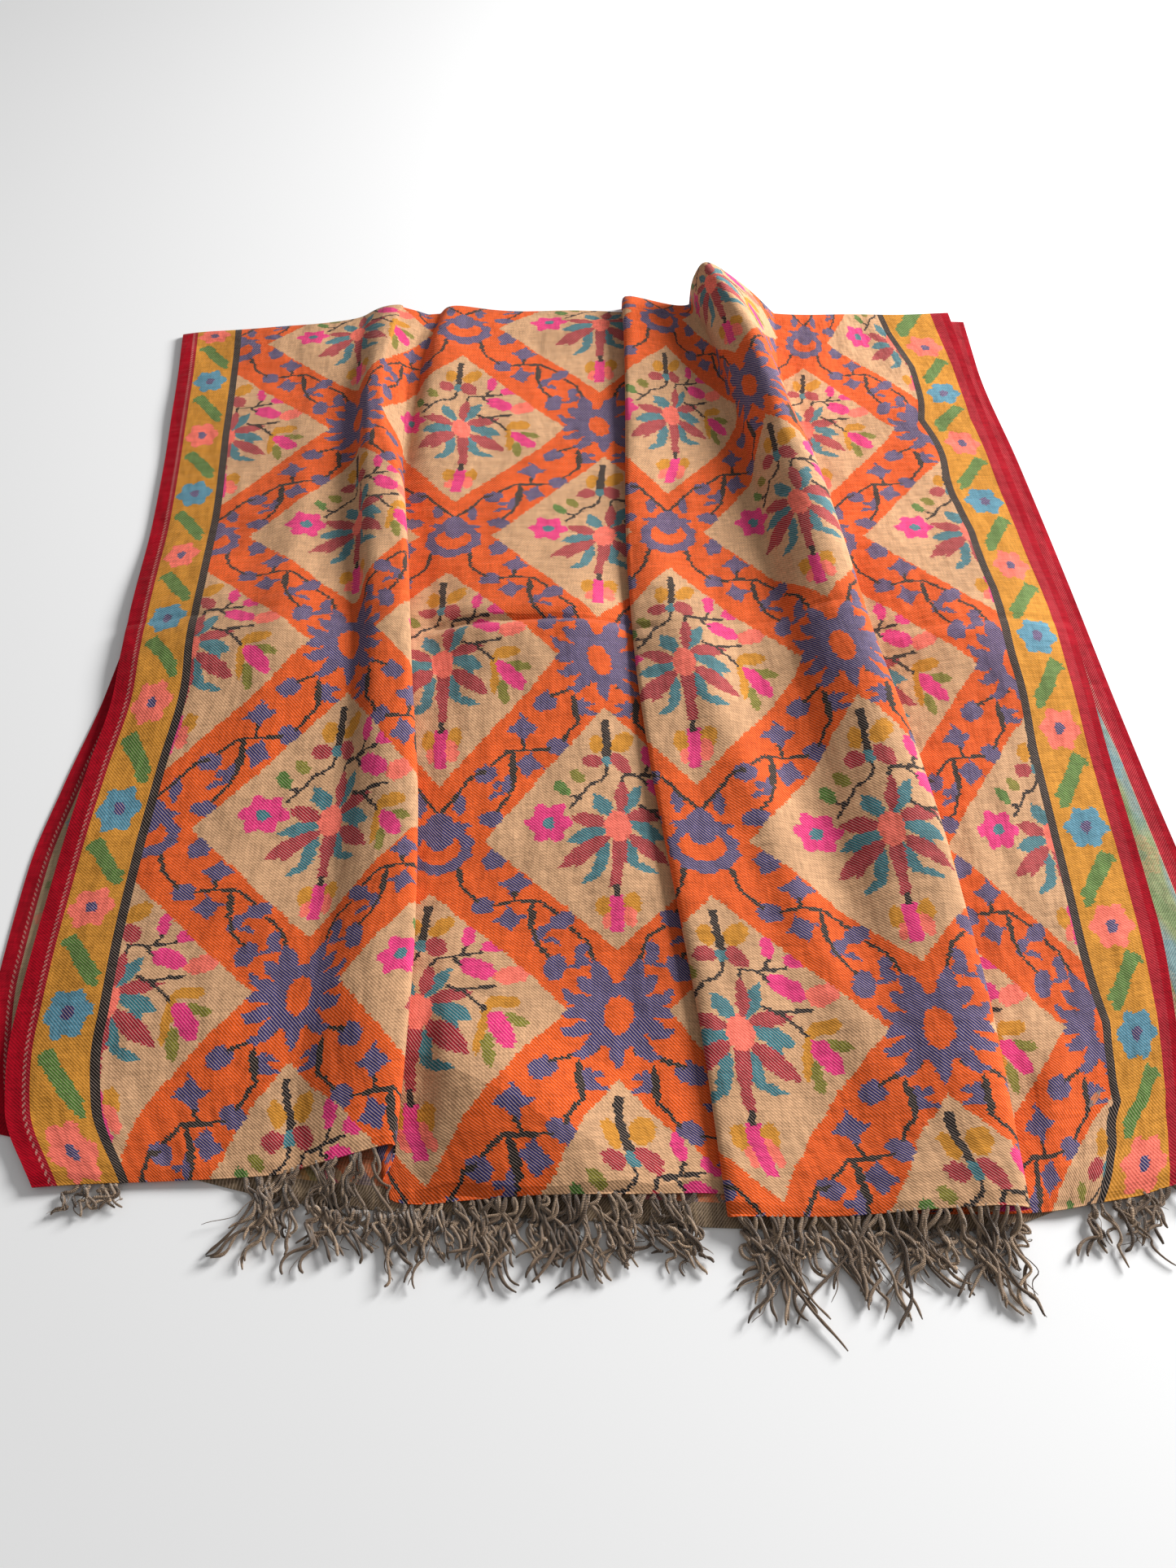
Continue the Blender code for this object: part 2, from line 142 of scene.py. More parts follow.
# The rolled lip of the second panel
LIP = Table(
    "along edge height",
    (0, -97, 0),
    (250, -102, 0),
    (450, -124, 0),
    (560, -137, 1),
    (650, -148, 7),
    (750, -156, 11),
    (850, -154, 11),
    (907, -145, 9),
)
# The flat pleat in the middle
FLAT = Table(
    "along edge height tuck",
    (0, 83, 7, 23),
    (110, 74, 8, 23),
    (210, 62, 9, 24),
    (330, 47, 9, 25),
    (450, 37, 9, 26),
    (580, 33, 10, 27),
    (720, 35, 12, 28),
    (810, 36, 15, 27),
    (907, 35, 18, 25),
)
# The great fold on the right, with the width of its left flank and how steep that is
GREAT = Table(
    "along flank steep crest edge height tuck open",
    (0, 76, 0.2, 246, 262, 10, 64, 0),
    (110, 72, 0.2, 246, 263, 13, 63, 0),
    (210, 66, 0.25, 240, 258, 18, 57, 0),
    (330, 58, 0.3, 226, 245, 26, 48, 0),
    (450, 50, 0.4, 207, 226, 34, 38, 0),
    (560, 42, 0.5, 193, 213, 40, 29, 0),
    (650, 35, 0.7, 181, 200, 45, 20, 0.05),
    (730, 28, 1.0, 167, 186, 48, 8, 0.3),
    (810, 24, 1.4, 152, 184, 52, 0, 0.8),
    (870, 15, 1.7, 132, 187, 55, 0, 1),
    (907, 8, 2.0, 115, 189, 57, 0, 1),
)
# y of each stretch's first and last point, at the fringed end and then at the fold
STRETCH_ENDS = (
    (301, 310, 1179, 1210),    # first panel
    (314, 326, 1211, 1214),    # rise of the standing pleat
    (326, 292, 1215, 1217),    # its tuck
    (290, 298, 1218, 1220),    # second panel
    (297, 281, 1220, 1220),    # tuck of the flat pleat
    (281, 287, 1220, 1218),    # third panel
    (286, 285, 1218, 1216),    # tuck of the great fold
    (287, 305, 1215, 1216),    # fourth panel
)
LOWER_SIDES = Table(
    "y left right",
    (300, -340, 427),
    (338, -368, 430),
    (390, -386, 432),
    (450, -396, 430),
    (535, -398, 425),
    (610, -391, 419),
    (700, -380, 413),
    (823, -374, 406),
    (983, -384, 395),
    (1133, -396, 383),
    (1215, -401, 383),
)
LOWER_ENDS = Table(
    "x near far",
    (-372, 338, 1174),
    (-250, 310, 1200),
    (-160, 291, 1210),
    (0, 282, 1213),
    (110, 277, 1213),
    (230, 276, 1211),
    (320, 300, 1210),
    (430, 312, 1206),
)

# Where each panel comes out or goes under, counted in steering points of the section
FLANK_END = 10
SECOND_SHOWS = 18.6
SECOND_HIDES = 25.5
THIRD_SHOWS = 35.5
THIRD_HIDES = 44
FOURTH_SHOWS = 53.5
LAST_POINT = 58


# The chart's lattice

ACROSS = 128.5            # from one line of motifs to the next, across the cloth
DOWN = 155.0              # the same along the cloth
FIRST_LINE = 60.0         # from the selvedge to the border's black line
NEAR_LINE = 5.75          # the fringed end, counted in rows of motifs
FLANK_STRETCH = 1.15      # how much closer the motifs lie on the standing pleat's flank

# Where the lattice's lines cross the section, from its left edge. fourth is the cloth's
# own coordinate where the fourth panel comes out from under the great fold.
CROSSINGS = Table(
    "along line0 line1 line2 line3 line4 line5 fourth line7",
    (0, 55, 155, 277, 406, 545, 667, 882, 868),
    (35, 56, 174, 304, 435, 572, 695, 882, 923),
    (60, 56, 177, 315, 447, 583, 707, 881, 949),
    (87, 56, 181, 320, 452, 587, 713, 880, 958),
    (114, 57, 184, 324, 457, 591, 718, 880, 964),
    (259, 55, 191, 326, 455, 571, 709, 868, 948),
    (426, 57, 184, 312, 437, 566, 693, 854, 932),
    (503, 56, 185, 314, 442, 564, 690, 850, 932),
    (580, 55, 186, 316, 447, 562, 687, 845, 923),
    (618, 55, 185, 310, 441, 561, 678, 841, 912),
    (680, 54, 183, 300, 430, 559, 662, 834, 886),
    (736, 53, 181, 291, 421, 557, 648, 828, 859),
    (819, 54, 178, 292, 427, 557, 641, 821, 857),
    (880, 55, 176, 292, 431, 557, 636, 815, 842),
    (907, 55, 176, 292, 431, 557, 634, 815, 839),
)
# Distances from the fringed end in the cloth, and where they lie on each line
LEVELS = Table(
    "cloth line1 line2 line3 line4 line5 line6",
    (0, 0, 0, 0, 0, 0, 0),
    (116, 126, 126, 121, 114, 114, 114),
    (271, 266, 253, 266, 259, 259, 259),
    (426, 444, 428, 424, 421, 428, 421),
    (581, 584, 572, 572, 576, 579, 579),
    (736, 730, 713, 724, 732, 743, 724),
    (891, 878, 872, 888, 884, 884, 858),
    (935, 907, 907, 907, 907, 907, 907),
)


def knife(edge: float, crest: float, height: float, tuck: float, opened: float, side: int) -> list[Point]:
    """Fold the section over an edge, back under it, round the tuck and out again.

    Args:
        edge: x of the folded edge.
        crest: x where the fold's top ends.
        height: Height of the fold.
        tuck: How far the cloth goes back under it.
        opened: 0 for a closed fold, 1 for one that runs straight down.
        side: 1 where the edge faces right, -1 where it faces left.

    Returns:
        The steering points from the edge to the panel beside it.
    """
    run = edge - crest
    points = [
        (edge - 0.75 * opened * run, 0.86 * height),
        (edge - 0.35 * opened * run, 0.46 * height + 0.4),
    ]
    under = [(0.15, LAYER + 0.10 * (height - 2 * LAYER)), (0.5, LAYER), (0.85, LAYER)]
    bend_at = edge - side * (tuck + TURN)
    folded = [(edge - side * share * tuck, z) for share, z in under]
    folded += [(bend_at, 0.9 * LAYER), (bend_at, 0.1 * LAYER)]
    folded += [(edge - side * share * tuck, 0.0) for share in (0.85, 0.5, 0.15)]
    for i, (x, z) in enumerate(folded):
        straight = edge + side * OPEN_STEP * i
        points.append((x + opened * (straight - x), z * (1 - opened * opened)))
    return points


def section(along: float) -> np.ndarray:
    """Work out the points that steer the crosswise section at one place.

    Args:
        along: Distance from the fringed end.

    Returns:
        x, height above the bed, near y and far y, one row for each point.
    """
    left, right, lift = EDGES.row_at(along)
    foot, wall, edge1, high1, tuck1, open1 = STANDING.row_at(along)
    lip, lip_high = LIP.row_at(along)
    edge2, high2, tuck2 = FLAT.row_at(along)
    flank, steep, crest, edge3, high3, tuck3, open3 = GREAT.row_at(along)
    top1 = foot + wall
    foot3 = crest - flank
    valley = 0.35 * high2 + 0.5 * lift
    first = [
        (left, 0.3 * lift),
        (left + 22, 0.4 * lift),
        (left + 0.4 * (foot - left), lift),
        (left + 0.75 * (foot - left), lift),
        (foot - 12, 0.7 * lift),
        (foot, 0.3 * lift),
    ]
    brow1 = edge1 - 4 - 0.5 * open1 * (edge1 - top1)
    rise1 = [
        (foot + 0.4 * wall, 0.55 * high1),
        (top1, 0.97 * high1),
        (0.5 * (top1 + brow1), 1.04 * high1),
        (brow1, high1),
    ]
    second = [
        (lip, 0.75 * lip_high),
        (lip + 12, lip_high + 0.2 * lift),
        (lip + 40, 0.4 * lip_high + 0.8 * lift),
        (0.5 * (lip + edge2), lift),
        (edge2 - 34, lift),
        (edge2 - 10, 0.3 * lift),
    ]
    third = [
        (edge2 + 5, high2),
        (edge2 + 0.35 * (foot3 - edge2), 0.7 * high2 + 0.5 * lift),
        (foot3 - 0.3 * (foot3 - edge2), valley),
        (foot3 - 6, valley),
        (foot3 + 0.1 * flank, valley + 0.06 * high3),
        (crest - (0.5 + 0.5 * steep) * flank, 0.5 * high3 + 0.4 * valley),
        (crest - 0.2 * flank - 2, 0.95 * high3),
        (crest + 2, 1.02 * high3),
    ]
    fourth = [
        (edge3 + 24, 0.2 * lift),
        (edge3 + 0.4 * (right - edge3), 0.8 * lift),
        (edge3 + 0.7 * (right - edge3), lift),
        (right - 22, 0.5 * lift),
        (right, 0.3 * lift),
    ]
    tuck_1 = knife(edge1, top1, high1, tuck1, open1, 1)
    tuck_2 = knife(edge2, edge2 + 5, high2, tuck2, 0, -1)[::-1]
    tuck_3 = knife(edge3, crest, high3, tuck3, open3, 1)
    rows = []
    for points, ends in zip((first, rise1, tuck_1, second, tuck_2, third, tuck_3, fourth), STRETCH_ENDS):
        near = np.linspace(ends[0], ends[1], len(points))
        far = np.linspace(ends[2], ends[3], len(points))
        rows += [(*point, *ys) for point, *ys in zip(points, near, far)]
    return np.array(rows)


def bend(steer: np.ndarray, places: np.ndarray) -> np.ndarray:
    """Follow the smooth curve that steering points pull along, as the solid's wall does.

    Args:
        steer: The steering points, one a row.
        places: Where to read the curve, counted in steering points.

    Returns:
        The curve's points.
    """
    held = np.vstack([2 * steer[0] - steer[1], steer, 2 * steer[-1] - steer[-2]])
    i = np.minimum(places.astype(int), len(steer) - 2)
    t = (places - i)[:, None]
    weights = ((1 - t) ** 3, 3 * t**3 - 6 * t * t + 4, -3 * t**3 + 3 * t * t + 3 * t + 1, t**3)
    last = len(held) - 1
    return sum(w * held[np.minimum(i + k, last)] for k, w in enumerate(weights)) / 6


# Shader building blocks


def linear(red: int, green: int, blue: int) -> Colour:
    """Turn a colour as a screen shows it, 0 to 255, into a shader's colour."""
    parts = [v / 255 for v in (red, green, blue)]
    low = [v / 12.92 if v <= 0.04045 else ((v + 0.055) / 1.055) ** 2.4 for v in parts]
    return (low[0], low[1], low[2], 1.0)


class Value:
    """An output socket of a material, with the operators that its numbers use."""

    def __init__(self, graph: "Graph", socket: bpy.types.NodeSocket) -> None:
        """Keep the socket and the graph that it belongs to."""
        self.graph = graph
        self.socket = socket

    def _math(self, operation: str, *others: "Value | float") -> "Value":
        """Add a Math node that starts with this value."""
        return self.graph.math(operation, self, *others)

    def __add__(self, other: "Value | float") -> "Value":
        """Sum, either way round."""
        return self._math("ADD", other)

    __radd__ = __add__

    def __sub__(self, other: "Value | float") -> "Value":
        """Difference."""
        return self._math("SUBTRACT", other)

    def __rsub__(self, other: float) -> "Value":
        """Difference from a number on the left."""
        return self.graph.math("SUBTRACT", other, self)

    def __mul__(self, other: "Value | float") -> "Value":
        """Product, either way round."""
        return self._math("MULTIPLY", other)

    __rmul__ = __mul__

    def __truediv__(self, other: "Value | float") -> "Value":
        """Quotient."""
        return self._math("DIVIDE", other)

    def __lt__(self, other: "Value | float") -> "Value":
        """1 where this is less."""
        return self._math("LESS_THAN", other)

    def __gt__(self, other: "Value | float") -> "Value":
        """1 where this is greater."""
        return self._math("GREATER_THAN", other)

    def __abs__(self) -> "Value":
        """Size without its sign."""
        return self._math("ABSOLUTE")

    def least(self, other: "Value | float") -> "Value":
        """The lesser of two values."""
        return self._math("MINIMUM", other)

    def most(self, other: "Value | float") -> "Value":
        """The greater of two values."""
        return self._math("MAXIMUM", other)

    def wrapped(self, period: float) -> "Value":
        """What is left over a whole number of periods."""
        return self._math("FLOORED_MODULO", period)


class Graph:
    """The nodes of one material."""

    def __init__(self, name: str) -> None:
        """Start a material that holds only its shader and its output."""
        self.material = bpy.data.materials.new(name)
        self.material.use_nodes = True
        self.tree = self.material.node_tree
        self.shader = self.tree.nodes["Principled BSDF"]

    def fill(self, node: bpy.types.Node, inputs: dict[Any, Any]) -> None:
        """Set a node's sockets to numbers or links, by name or number."""
        for key, value in inputs.items():
            if isinstance(value, Value):
                self.tree.links.new(value.socket, node.inputs[key])
            else:
                node.inputs[key].default_value = value

    def make(
        self, kind: str, settings: dict[str, Any], inputs: dict[Any, Any], output: int | str = 0
    ) -> Value:
        """Add one node.

        Args:
            kind: The node's type, without its prefix.
            settings: Properties, which are set first; stops are a ramp's.
            inputs: Values or links of its sockets, by name or number.
            output: The output wanted.

        Returns:
            That output.
        """
        node = self.tree.nodes.new("ShaderNode" + kind)
        for key, value in settings.items():
            if key != "stops":
                setattr(node, key, value)
                continue
            for _ in value[2:]:
                node.color_ramp.elements.new(0.5)
            for stop, (place, colour) in zip(node.color_ramp.elements, value):
                stop.position = place
                stop.color = colour
        self.fill(node, inputs)
        return Value(self, node.outputs[output])

    def math(self, operation: str, *values: Value | float) -> Value:
        """Add a Math node on one or more values."""
        return self.make("Math", {"operation": operation}, dict(enumerate(values)))

    def vector(self, operation: str, *values: Any, output: int | str = 0) -> Value:
        """Add a Vector Math node."""
        return self.make("VectorMath", {"operation": operation}, dict(enumerate(values)), output)

    def parts(self, vector: Value) -> tuple[Value, Value]:
        """x and y of a vector."""
        x = self.make("SeparateXYZ", {}, {"Vector": vector})
        return x, Value(self, x.socket.node.outputs[1])

    def joined(self, x: Value | float, y: Value | float) -> Value:
        """A place from x and y, with 1 as its third number."""
        return self.make("CombineXYZ", {}, {"X": x, "Y": y, "Z": 1.0})

    def mix(self, mask: Value | float, below: Any, above: Any, blend: str = "MIX") -> Value:
        """Lay one colour over another where a mask is 1."""
        settings = {"data_type": "RGBA", "blend_type": blend}
        return self.make("Mix", settings, {0: mask, 6: below, 7: above}, 2)

    def noise(self, place: Value, scale: float, detail: float = 2.0, output: int | str = 0) -> Value:
        """Smooth noise over the cloth, in features per unit."""
        settings = {"noise_dimensions": "2D"}
        return self.make("TexNoise", settings, {"Vector": place, "Scale": scale, "Detail": detail}, output)

    def grain(self, place: Value, x: float, y: float, detail: float = 2.0) -> Value:
        """Noise that is drawn out, with its own features per unit along each axis."""
        return self.noise(self.vector("MULTIPLY", place, (x, y, 1.0)), 1.0, detail)

    def dress(self, inputs: dict[str, Any]) -> bpy.types.Material:
        """Set the shader's sockets, and give the finished material."""
        self.fill(self.shader, inputs)
        return self.material


# Woven shapes, in millimetres


class Shape:
    """A filled shape of the chart. Its reach is below 1 inside it."""

    def reach(self, graph: Graph, place: Value) -> Value:
        """Distance from the shape's middle, 1 at its outline."""
        raise NotImplementedError

    def sides(self, graph: Graph, place: Value, at: Point, half: Point, turn: float) -> tuple[Value, Value]:
        """Bring a place into the shape's own frame, where it is one unit from middle to edge.

        Args:
            graph: The material's graph.
            place: Where the shape is drawn, with 1 as its third number.
            at: The shape's middle.
            half: Half its length and half its width.
            turn: How far its length is turned from the x axis, in radians.

        Returns:
            The place along the shape and across it.
        """
        cos = math.cos(turn)
        sin = math.sin(turn)
        found = []
        for (a, b), size in (((cos, sin), half[0]), ((-sin, cos), half[1])):
            row = (a / size, b / size, -(a * at[0] + b * at[1]) / size)
            found.append(graph.vector("DOT_PRODUCT", place, row, output="Value"))
        return found[0], found[1]


@dataclass(frozen=True)
class Oval(Shape):
    """An ellipse, with its long side turned anticlockwise from the x axis, in degrees."""

    x: float
    y: float
    long: float
    wide: float
    turn: float = 0.0

    def reach(self, graph: Graph, place: Value) -> Value:
        """Squared distance from the middle, 1 at the outline."""
        half = (self.long / 2, self.wide / 2)
        along, across = self.sides(graph, place, (self.x, self.y), half, math.radians(self.turn))
        return graph.math("MULTIPLY_ADD", along, along, across * across)


class Outline(Enum):
    """How a drawn shape narrows along itself."""

    BAR = "straight sides and square ends"
    LEAF = "pointed at both ends"
    DIAMOND = "straight sides that meet in points"
    PETAL = "full, with blunt points"


@dataclass(frozen=True)
class Stroke(Shape):
    """A straight shape drawn from one point to another."""

    x0: float
    y0: float
    x1: float
    y1: float
    wide: float
    outline: Outline = Outline.BAR

    def reach(self, graph: Graph, place: Value) -> Value:
        """Distance from the middle line, 1 at the outline."""
        run = (self.x1 - self.x0, self.y1 - self.y0)
        middle = (self.x0 + run[0] / 2, self.y0 + run[1] / 2)
        half = (math.hypot(*run) / 2, self.wide / 2)
        along, across = self.sides(graph, place, middle, half, math.atan2(run[1], run[0]))
        across = abs(across)
        if self.outline is Outline.BAR:
            return across.most(abs(along))
        if self.outline is Outline.DIAMOND:
            return across + abs(along)
        if self.outline is Outline.LEAF:
            return graph.math("MULTIPLY_ADD", along, along, across)
        square = along * along
        return graph.math("MULTIPLY_ADD", square, square, across)


def ovals(*rows: tuple[float, ...]) -> list[Oval]:
    """Draw ellipses from rows of x, y, length, width and turn."""
    return [Oval(*row) for row in rows]


def strokes(outline: Outline, *rows: tuple[float, ...]) -> list[Stroke]:
    """Draw shapes of one outline from rows of x0, y0, x1, y1 and width."""
    return [Stroke(*row, outline) for row in rows]


def stem(wide: float, *points: Point) -> list[Stroke]:
    """Draw a bent stem through points, one stroke for each stretch."""
    return [Stroke(*a, *b, wide) for a, b in zip(points, points[1:])]


def star(x: float, y: float, size: float, turn: float = 0.0) -> list[Stroke]:
    """Draw a small four-pointed flower as two crossed diamonds."""
    arms = []
    for angle, wide in ((turn + 90, 0.62), (turn, 0.55)):
        dx = 0.5 * size * math.cos(math.radians(angle))
        dy = 0.5 * size * math.sin(math.radians(angle))
        arms.append(Stroke(x - dx, y - dy, x + dx, y + dy, wide * size, Outline.DIAMOND))
    return arms


# Finishes


@dataclass(frozen=True)
class Palette:
    """The shawl's dyed yarns."""

    beige: Colour = linear(204, 158, 118)
    orange: Colour = linear(222, 84, 8)
    violet: Colour = linear(48, 46, 104)
    magenta: Colour = linear(226, 44, 120)
    salmon: Colour = linear(244, 116, 98)
    red: Colour = linear(160, 22, 42)
    teal: Colour = linear(46, 114, 124)
    sky: Colour = linear(78, 136, 156)
    ochre: Colour = linear(200, 134, 44)
    green: Colour = linear(74, 116, 42)
    olive: Colour = linear(124, 118, 36)
    crimson: Colour = linear(156, 0, 24)
    rose: Colour = linear(156, 1, 30)
    black: Colour = linear(16, 14, 15)
    pale: Colour = linear(212, 184, 166)
    taupe: Colour = linear(176, 150, 118)
    faded_teal: Colour = linear(98, 138, 142)
    faded_green: Colour = linear(110, 138, 92)


Chart = dict[str, list[Shape]]

# The flowering plant inside each beige diamond, about its salmon heart, from the lowest yarn up
PLANT: Chart = {
    "teal": [
        *strokes(Outline.LEAF, (-3, 9, -15, 30, 12), (-9, 20, -17, 19, 5), (4, 10, 20, 37, 11)),
        *strokes(Outline.LEAF, (5, 6, 35, -9, 13), (17, -6, 27, -16, 7), (-6, -1, -37, -8, 13)),
        *strokes(Outline.LEAF, (-11, -38, -26, -48, 7), (7, -33, 29, -42, 7)),
        *strokes(Outline.PETAL, (-9.5, -12, -15, -45, 9), (6, -12, 11, -38, 9)),
        Oval(-2, 58, 10.5, 9, 90),
    ],
    "red": [
        *strokes(Outline.LEAF, (3, 10, 7.5, 42, 9.5), (-6, 3, -33, 13, 12), (4, 8, 36, 13, 12)),
        *strokes(Outline.LEAF, (5, -6, 37, -33, 14), (-5, -6, -43, -32, 15), (-20, -22, -31, -34, 5)),
        *strokes(Outline.BAR, (0, -10, 0, -34, 10.5), (-0.5, -30, 0, -53, 7.5)),
        *ovals((-13.5, 58, 15, 12.5, 0), (8, 57, 19, 13, -55)),
    ],
    "ochre": [
        *ovals((-9.5, 74, 18, 10.5, 90), (10, 76, 22, 14, 50)),
        *ovals((-9, -70, 18, 11.5, 90), (10.5, -68, 18, 12, 90)),
        *strokes(Outline.PETAL, (43, 3, 66, 5, 11), (45, 6, 41, -34, 7)),
    ],
    "olive": [
        Oval(-26, 46, 14, 9, -50),
        *strokes(Outline.PETAL, (53, -7, 72, -12, 8), (47, -20, 50, -43, 8)),
    ],
    "green": [Oval(-38, 37, 15.5, 9, -55)],
    "salmon": [
        *ovals((-6.5, -82, 14, 8.5, 75), (8.5, -79, 19, 10.5, 100), (0, 0, 27, 18.5, 90)),
        Stroke(48, 24, 71, 32, 15, Outline.PETAL),
        Stroke(-7.5, 0, 7.5, 0, 20),
    ],
    "magenta": [
        Stroke(0, -60, 0, -93, 9.5),
        *ovals((29, 65, 19, 9, 90), (48, 55, 20, 12.5, 8)),
        *strokes(Outline.PETAL, (25, 42, 49, 27, 15), (46, -4, 64, -30, 13)),
    ],
    "black": [
        *strokes(Outline.BAR, (-1.5, 96, -2, 63, 5.5), (0, -52, 0, -62, 4.2), (28, 15, 43, -3, 2.7)),
        *strokes(Outline.BAR, (-26, 28, -33, 30, 2.5), (24, 47, 29, 56, 2.5), (20, 46, 26, 38, 2.5)),
        *stem(2.5, (-2.5, 53), (-3.5, 46), (-10, 40), (-17, 38), (-26, 27), (-34, 19)),
        *stem(2.7, (7, 40), (8.5, 47), (20, 46.5), (40, 49)),
        *stem(2.7, (17, 20), (25, 15.5), (50, 18)),
    ],
}
PLANT_HALF = (96.5, 108.0)       # half sizes of the beige diamonds
BLOOM = (-49.0, 9.0)             # the plant's round flower
BLOOM_RADIUS = 15.4
BLOOM_PETALS = 2.45
BLOOM_HEART = 9.5

# The bands' vines from a small rosette to the next large one above it
UPPER_VINES: Chart = {
    "violet": [
        *ovals((34, 54, 17, 14.5, 10), (89, 73.5, 17, 16, 0), (37, 17, 18, 13, 0), (110, 108, 15, 9, 95)),
        *ovals((81.5, 113, 18.5, 15.5, 10), (14.5, 32, 20, 9.5, 97), (50, 44, 18, 8, 75)),
        *star(63.5, 91, 27, 6),
        *star(67.5, 58.5, 25, -14),
        Stroke(26, 55, 42, 54, 8, Outline.DIAMOND),
        *strokes(Outline.LEAF, (50, 38, 34, 34, 5), (48, 46, 38, 43, 4)),
        *strokes(Outline.LEAF, (110, 104, 124, 100, 5.5), (110, 110, 121, 111, 5)),
    ],
    "black": [
        *stem(2.8, (-1, 24), (13, 39), (25, 54), (34, 56)),
        *stem(2.7, (38, 60), (52, 71), (66, 71.5), (84, 72.5)),
        *stem(2.7, (63.5, 82), (65, 72)),
        *stem(2.7, (54, 44), (50, 33), (41, 22)),
        *stem(2.7, (93, 78), (100, 88), (105.5, 94)),
        *stem(2.7, (86, 117), (101, 123), (118, 128)),
        *strokes(Outline.PETAL, (56, 72, 54.5, 42, 5.6), (104, 120, 106, 92, 5.2)),
    ],
}

# The same to the next large one below it
LOWER_VINES: Chart = {
    "violet": [
        *ovals((37, 61, 17, 16, 20), (91, 80, 19, 14, -45), (88, 120, 23, 15, -70)),
        *ovals((41, 19, 21, 16, -75), (77, 90, 19, 8, -60)),
        *star(57.5, 43, 25, 4),
        *star(55.5, 75.5, 25, -10),
        Stroke(104, 99, 106, 121, 9, Outline.PETAL),
        *strokes(Outline.LEAF, (106, 119, 95, 120, 5), (77, 95, 92, 100, 5), (75, 88, 86, 87, 4.5)),
    ],
    "black": [
        *stem(2.7, (17.5, 32), (21, 44), (34, 58)),
        *stem(2.7, (44, 61.5), (58, 59.5), (74, 61), (88, 74)),
        *stem(2.8, (58, 50), (57, 60)),
        *stem(2.7, (71, 86), (76, 101), (85, 112)),
        *stem(2.7, (96, 86), (108, 98), (115, 118)),
        *strokes(Outline.PETAL, (16, 22, 18, 34, 4.0), (70, 61, 70.5, 88, 4.8)),
    ],
}

# The small rosette, a bud that hangs from its shoulders, and the large one, a sunburst of hooked rays
BUD = (Stroke(0, -4, 0, 27, 20, Outline.PETAL), Stroke(-23, 13, 23, 13, 7, Outline.PETAL))
BUD_GROUND = (Oval(-1, -4.5, 34, 26, 0),)
RING_HALF = (24.5, 21.5)         # half sizes of the scalloped ring round the bud
SCALLOPS = 11.0
SCALLOP_DEPTH = 0.05
RAYS = (
    Oval(0, -2, 50, 43, 90),
    *strokes(Outline.LEAF, (0, -12, 0, -41, 11), (9, -14, 24, -35, 10.5), (17, -30, 30, -31, 5)),
    *strokes(Outline.LEAF, (13, -8, 34, -19, 10.5), (25, -18, 37, -14, 5), (15, -1, 38, -3, 10)),
    *strokes(Outline.LEAF, (14, 4, 35, 10, 10.5), (28, 6, 36, 18, 5.5), (11, 10, 27, 28, 11)),
    *strokes(Outline.LEAF, (6, 12, 16, 42, 13)),
)
RAYS_HEART = (Oval(0, -3, 29, 19, 88),)

# The side borders, measured outwards from the middle of their black line
LINE_INSIDE = -3.5
LINE_OUTSIDE = 3.3
MARGIN = 43.5              # to the crimson margin, which starts 1 mm further out on the right
LEFT_REPEAT = 90.5         # from one flower to the next
RIGHT_REPEAT = 86.5
FIRST_FLOWER = 18.0        # from the fringed end
FLOWER_AT = 25.0
FLOWER_RADIUS = 15.4
FLOWER_PETALS = 1.9
FLOWER_PRESS = 0.88        # a flower is longer along the cloth by one over this
FLOWER_HEART = (Oval(FLOWER_AT, 0, 9.5, 8.5, 80),)
LEAVES = (
    Stroke(36, 19, 12, -18, 12),
    *strokes(Outline.LEAF, (31, 20, 41, 10, 7), (16, -16, 9, -25, 8)),
)
LEFT_SELVEDGE = 12.0
RIGHT_SELVEDGE = 6.5
PLAIN = 17.0               # width of the margins, which show little pale warp

# The reverse, where it shows
BLURRED = 18.0             # from either selvedge to where the floats start
STRIP = (50.0, 18.0)       # from the right selvedge to both sides of the faded strip
REVERSE_MARGIN = 17.5
WIDER_BEFORE = 1480.0      # nearer the fold than this, the margin grows wider
WIDER_BY = 9.0
SHADED_ROOTS = 14.0               # how much of the far end shows the fringe's first threads, in a dark band that is partly painted shade


class Side(Enum):
    """Which side of the cloth shows."""

    FACE = "face"
    REVERSE = "reverse"


